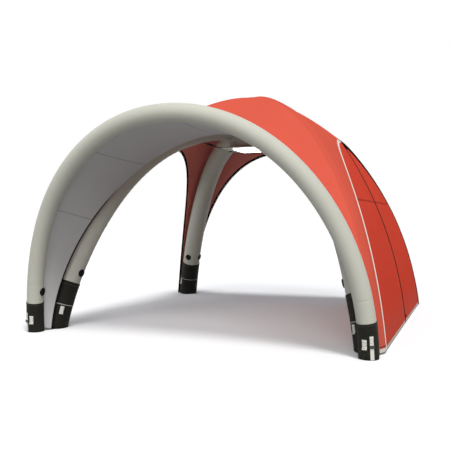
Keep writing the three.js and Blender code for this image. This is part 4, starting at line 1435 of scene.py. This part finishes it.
class EVENTTENT_OT_webbing(TentOperator):
    """Adds the webbing tabs at the feet with their D rings, and the anchor straps with their buckles"""

    bl_idname = "eventtent.webbing"
    bl_label = "Webbing, rings and anchor straps"

    drop = 0.095  # from a tab's top to its ring
    eyelet = 0.0085
    # degrees from the front towards the right, for each tab
    facing = {"front_left": 46, "front_right": -46, "back_left": -45, "back_right": 45}
    porch_tab_facing = 12
    porch_strap_facing = 28
    strap_above = 0.105  # from the buckle to the anchor strap's ends
    strap_below = 0.135

    def build(self):
        sizes, tent = self.sizes, self.tent
        self.web = webbing_finish(self.colours)
        # the rings' and buckles' near-black plastic is lightened to grey as a painted glint
        self.plastic = plastic_finish("ring_plastic", self.colours.ring, 0.3, 0.6)
        self.rings, self.buckles = {}, {}
        leg_boot = sizes.leg_radius + sizes.boot_wall + 2 * GAP
        porch_boot = sizes.porch_radius + sizes.porch_boot_wall + 2 * GAP
        for name, corner in CORNERS.items():
            point_at = functools.partial(tent.leg_point, corner)
            self.tab(name, point_at, sizes.leg_webbing_top, self.facing[name], leg_boot)
        for name, side in (("left", -1), ("right", 1)):
            point_at = functools.partial(tent.porch_foot, side)
            facing = -self.porch_tab_facing * side
            self.tab(f"porch_{name}", point_at, sizes.porch_webbing_top, facing, porch_boot)
            self.anchor(name, point_at, self.porch_strap_facing * side, porch_boot)
        ring = d_ring("d_ring", sizes.webbing_width + 0.002, 0.005, 0.038)
        for name, copy in copies(ring, self.rings).items():
            node = name.replace("d_ring", "ring")
            deliver(copy, self.plastic, [node], node)
        for name, copy in copies(self.cam_buckle(porch_boot + 0.0043), self.buckles).items():
            deliver(copy, self.plastic, [name.replace("cam", "anchor")])

    def strip(self, name, profile, width, boot, thickness, place):
        """A strip of webbing that follows a profile of (out, up) and the boot's roundness."""
        profile = np.array(profile)
        line = np.stack([profile[:, 0], np.zeros(len(profile)), profile[:, 1]], axis=1)
        line = evenly(line, 0.004)
        side = np.linspace(-width / 2, width / 2, 9)
        hug = np.sqrt(boot ** 2 - side ** 2) - boot
        grid = np.repeat(line[:, None], len(side), axis=1)
        grid[..., 1] = side[None, :]
        grid[..., 0] += hug[None, :]
        coordinates = cloth_coordinates(grid, len(side) // 2)
        matrix = np.array(place)
        grid = grid @ matrix[:3, :3].T + matrix[:3, 3]
        return sheet_object(name, [(grid, coordinates)], thickness)

    def tab(self, name, point_at, top, degrees, boot):
        """A tab that is sewn on flat above and turns round its ring below."""
        place = frame_on(point_at, top - self.drop, compass(degrees))
        face = boot + 0.0032
        pivot = boot + self.eyelet + 0.001
        loop = [(face, self.drop), (face, 0.014)]
        for turn in np.radians(np.linspace(80, -190, 12)):
            loop.append((pivot + 0.0058 * math.cos(turn), 0.0058 * math.sin(turn)))
        web = self.strip(f"webbing_tab_{name}", loop, self.sizes.webbing_width, boot, 0.0016, place)
        deliver(web, self.web, [f"webbing_{name}"])
        swing = Matrix.Rotation(-hanging(place), 4, "Y")
        self.rings[f"d_ring_{name}"] = place @ Matrix.Translation((pivot, 0, 0)) @ swing

    def anchor(self, name, point_at, degrees, boot):
        """A flat anchor strap, and the place of its buckle."""
        place = frame_on(point_at, self.sizes.buckle_height, compass(degrees))
        face = boot + 0.0034
        profile = [(face, self.strap_above), (face, 0.04), (face, -0.04), (face, -self.strap_below)]
        width = self.sizes.webbing_width * 0.8
        strap = self.strip(f"anchor_webbing_{name}", profile, width, boot, 0.0018, place)
        deliver(strap, self.web, [f"anchor_strap_{name}"])
        self.buckles[f"cam_buckle_{name}"] = place

    def cam_buckle(self, front):
        """The buckle on an anchor strap, with its back at a distance from the middle of the tube."""
        plate = slotted_plate("cam_buckle", 0.054, 0.030, 0.008, front + 0.004)
        cam = rod("cam", 0.006, 0.040, front + 0.008)
        lever = bar("lever", (0.003, 0.034, 0.020), (front + 0.0125, 0, 0.006), 0.001)
        return joined(plate, cam, lever)


def hanging(place, least=0):
    """The turn, out of the tube, by which a ring hangs straight down from a leaning frame."""
    down = place.inverted().to_3x3() @ Vector((0, 0, -1))
    return max(math.atan2(down.x, -down.z), least)


def webbing_finish(colours):
    """White webbing: ribs, dark selvedge stitches and a sewn box with a cross in it."""
    finish = Cloth("white_webbing", colours.webbing, 0.0010, 0.78, fold=0.1)
    across, along = finish.cloth()
    box_side = across.size().line(0.019, 0.0008)
    middle = 0.045
    inside = (along - middle).size().below(0.022)
    ends = (along - middle).size().line(0.022, 0.0008) * across.size().below(0.019)
    slope = across.size() * (0.022 / 0.019)
    cross = ((along - middle).size() - slope).size().below(0.0010) * across.size().below(0.019)
    thread = (box_side * inside).largest(ends).largest(cross)
    finish.paint(thread * 0.75, fade_colour(colours.webbing, 0.35))
    finish.height += along.wave(0.0026) * 0.0002 - thread * 0.0004
    return finish.close(0.0)


def d_ring(name, width, wire, drop, flatness=0.62):
    """A D ring that hangs from its straight bar, which lies along Y. Its bow is flatter than a half round."""
    half = (width + wire) / 2
    leg = drop - wire / 2 - half * flatness
    bpy.ops.object.select_all(action="DESELECT")
    bpy.ops.mesh.primitive_circle_add(
        vertices=16, radius=wire / 2, fill_type="NGON", location=(0, -half, 0))
    ring = started(name)
    bpy.ops.object.mode_set(mode="EDIT")
    bpy.ops.mesh.select_all(action="SELECT")
    bpy.ops.mesh.extrude_region_move(TRANSFORM_OT_translate={"value": (0, 0, -leg)})
    bpy.ops.mesh.spin(steps=24, angle=math.pi, center=(0, 0, -leg), axis=(1, 0, 0))
    bpy.ops.mesh.extrude_region_move(TRANSFORM_OT_translate={"value": (0, 0, leg)})
    pick(ring, lambda vertex: vertex.co.z < -leg, "VERT")
    bpy.ops.transform.resize(value=(1, 1, flatness), center_override=(0, 0, -leg))
    bpy.ops.object.mode_set(mode="OBJECT")
    merge_doubles(ring, 1e-6, outward=True)
    return joined(ring, rod("ring_bar", wire / 2, 2 * half + wire * 0.8, 0, 16))


class EVENTTENT_OT_zip(TentOperator):
    """Adds the zip down the middle of the side wall, with its slider and puller"""

    bl_idname = "eventtent.zip"
    bl_label = "Wall zip"

    slider_height = 0.110
    slider_back, slider_depth = 0.0015, 0.007
    profile = (  # across the tape, and how far it stands out
        (-0.012, 0.001), (-0.0045, 0.001), (-0.0035, 0.0026), (-0.0012, 0.0032),
        (0.0012, 0.0032), (0.0035, 0.0026), (0.0045, 0.001), (0.012, 0.001),
    )

    def build(self):
        tent, sizes = self.tent, self.sizes
        up = np.linspace(sizes.hem_height, sizes.opening_height - sizes.zip_top_margin, 260)[::-1]
        across, proud = np.array(self.profile).T
        angle = np.arcsin((up - tent.drum_up) / tent.drum_radius)
        radius = tent.drum_radius + proud[None, :]
        grid = np.empty((len(up), len(across), 3))
        grid[..., 0] = tent.drum_depth + radius * np.cos(angle)[:, None]
        grid[..., 1] = across[None, :]
        grid[..., 2] = tent.drum_up + radius * np.sin(angle)[:, None]
        coordinates = cloth_coordinates(grid, 3)
        tape = sheet_object("zip_tape_strip", [(standing(grid), coordinates)], 0.003)
        deliver(tape, self.tape_with_teeth(), ["zip_tape"])
        self.slider()

    def tape_with_teeth(self):
        finish = Cloth("zip_tape_with_teeth", self.colours.black, 0.0007, 0.7, fold=0.05)
        across, along = finish.cloth()
        chain = (across + 0.0012).size().fade(0.0042, 0.0038)
        teeth = along.wave(0.004).above(0.0) * chain
        finish.paint(teeth, srgb(46, 46, 46))  # worn paler
        finish.rough -= chain * 0.3
        finish.height += teeth * 0.0006
        return finish.close()

    def slider(self):
        tent, back, depth = self.tent, self.slider_back, self.slider_depth
        angle = math.asin((self.slider_height - tent.drum_up) / tent.drum_radius)
        out = Vector((math.cos(angle), 0, math.sin(angle)))
        middle = Vector((tent.drum_depth, CROWN_Y, tent.drum_up)) + out * tent.drum_radius
        place = frame_at(middle, out, Vector((-math.sin(angle), 0, math.cos(angle))))
        plastic = plastic_finish("zip_slider_metal", self.colours.plastic, 0.3)
        body = bar("zip_slider_body", (depth, 0.026, 0.042), (back + depth / 2, 0, 0), 0.003)
        boss = rod("boss", 0.005, 0.012, back + depth + 0.004)
        rail = bar("rail", (0.002, 0.002, 0.034), (back + depth, 0, 0), 0.0006)
        rails = copies(rail, {f"rail_{y}": Matrix.Translation((0, y, 0)) for y in (-0.0095, 0.0095)}).values()
        body = joined(body, boss, *rails)
        put(body, place)
        deliver(body, plastic, ["zip_slider"], "zip_slider")
        puller = d_ring("zip_puller_loop", 0.014, 0.0034, 0.044)
        room = 0.005 - 0.001 - 0.0017 - GAP  # between the puller's wire and the slider's face
        swing = Matrix.Rotation(-hanging(place, -math.asin(room / 0.021)), 4, "Y")
        put(puller, place @ Matrix.Translation((back + depth + 0.004, 0, 0)) @ swing)
        deliver(puller, plastic, ["zip_puller"], "zip_puller")


class EVENTTENT_OT_stage(TentOperator):
    """Adds the pale floor, the soft light and the camera"""

    bl_idname = "eventtent.stage"
    bl_label = "Stage"

    # turn from the front towards the right and rise in degrees, strength, and spread in degrees
    softboxes = {
        "key_softbox": (42, 59, 1.85, 16),
        "low_key_softbox": (45, 28, 0.42, 15),
        "front_softbox": (4, 35, 1.1, 34),
        "left_softbox": (270, 12, 0.50, 50),
        "back_softbox": (180, 12, 0.34, 50),
    }
    sky = (0.27, 0.283, 0.31)
    floor_bounce = (0.34, 0.34, 0.34)  # what the floor sends up to the tent
    floor_side = 160
    camera_from_axis = (3.0544, -8.6702, 1.4006)
    camera_turn, camera_tilt = 0.3836, -0.0097  # radians to the left of +Y, and up
    sensor_width, focal_length = 36, 49.9632  # in millimetres

    def build(self):
        scene = bpy.context.scene
        bpy.ops.object.select_all(action="DESELECT")
        bpy.ops.mesh.primitive_plane_add(size=self.floor_side, location=(0, 0, 0))
        floor = started("floor")
        floor.data.materials.append(self.floor_finish())
        self.world(scene)
        for name, settings in self.softboxes.items():
            self.softbox(name, *settings)
        data = bpy.data.cameras.new("camera")
        data.sensor_width = self.sensor_width
        data.lens = self.focal_length
        data.clip_end = 500
        camera = bpy.data.objects.new("camera", data)
        yaw, pitch = self.camera_turn, self.camera_tilt
        level = math.cos(pitch)
        ahead = Vector((-math.sin(yaw) * level, math.cos(yaw) * level, math.sin(pitch)))
        camera.location = Vector(self.camera_from_axis) + Vector((0, CROWN_Y, 0))
        camera.rotation_euler = ahead.to_track_quat("-Z", "Y").to_euler()
        scene.collection.objects.link(camera)
        scene.camera = camera
        scene.view_settings.view_transform = "Standard"

    def softbox(self, name, turn, rise, energy, spread):
        """A wide, distant light. turn runs from the front towards the right, in degrees."""
        turn, rise = math.radians(turn), math.radians(rise)
        level = math.cos(rise)
        source = Vector((math.sin(turn) * level, -math.cos(turn) * level, math.sin(rise)))
        lamp = bpy.data.lights.new(name, "SUN")
        lamp.energy = energy
        lamp.angle = math.radians(spread)
        holder = bpy.data.objects.new(name, lamp)
        holder.rotation_euler = source.to_track_quat("Z", "Y").to_euler()
        bpy.context.scene.collection.objects.link(holder)

    def floor_finish(self):
        finish = Finish("pale_studio_floor")
        tone = finish.mix(finish.seen(), self.floor_bounce, self.colours.floor)
        finish.set(Base_Color=tone, Roughness=0.9, Specular_IOR_Level=0)
        return finish.material

    def world(self, scene):
        world = bpy.data.worlds.new("studio")
        scene.world = world
        world.use_nodes = True
        shading = Shading(world.node_tree)
        light = shading.mix(shading.seen(), self.sky, WHITE)
        ground = shading.node("ShaderNodeBackground", None, {"Color": light})
        shading.node("ShaderNodeOutputWorld", None, {"Surface": ground.outputs[0]})


class EVENTTENT_PT_panel(bpy.types.Panel):
    """The sidebar's list of the tent's pieces, sizes and colours"""

    bl_idname = "EVENTTENT_PT_panel"
    bl_label = "Inflatable event tent"
    bl_space_type = "VIEW_3D"
    bl_region_type = "UI"
    bl_category = "Event tent"

    def draw(self, context):
        column = self.layout.column(align=True)
        for operator in OPERATORS:
            column.operator(operator.bl_idname)
        for group in (context.scene.event_tent_sizes, context.scene.event_tent_colours):
            box = self.layout.box().column(align=True)
            for key in group.__annotations__:
                box.prop(group, key)


OPERATORS = [
    EVENTTENT_OT_crown,
    EVENTTENT_OT_lamp,
    EVENTTENT_OT_legs,
    EVENTTENT_OT_boots,
    EVENTTENT_OT_canopy,
    EVENTTENT_OT_pipings,
    EVENTTENT_OT_side_wall,
    EVENTTENT_OT_zip,
    EVENTTENT_OT_porch_arch,
    EVENTTENT_OT_porch_cover,
    EVENTTENT_OT_inflation_valves,
    EVENTTENT_OT_relief_valves,
    EVENTTENT_OT_webbing,
    EVENTTENT_OT_stage,
]
CLASSES = [EventTentSizes, EventTentColours, *OPERATORS, EVENTTENT_PT_panel]


def register():
    for item in CLASSES:
        bpy.utils.register_class(item)
    bpy.types.Scene.event_tent_sizes = bpy.props.PointerProperty(type=EventTentSizes)
    bpy.types.Scene.event_tent_colours = bpy.props.PointerProperty(type=EventTentColours)


def unregister():
    del bpy.types.Scene.event_tent_colours
    del bpy.types.Scene.event_tent_sizes
    for item in reversed(CLASSES):
        bpy.utils.unregister_class(item)


def main():
    register()
    bpy.ops.eventtent.crown()
    bpy.ops.eventtent.lamp()
    bpy.ops.eventtent.legs()
    bpy.ops.eventtent.boots()
    bpy.ops.eventtent.canopy()
    bpy.ops.eventtent.pipings()
    bpy.ops.eventtent.side_wall()
    bpy.ops.eventtent.zip()
    bpy.ops.eventtent.porch_arch()
    bpy.ops.eventtent.porch_cover()
    bpy.ops.eventtent.inflation_valves()
    bpy.ops.eventtent.relief_valves()
    bpy.ops.eventtent.webbing()
    bpy.ops.eventtent.stage()


if __name__ == "__main__":
    main()
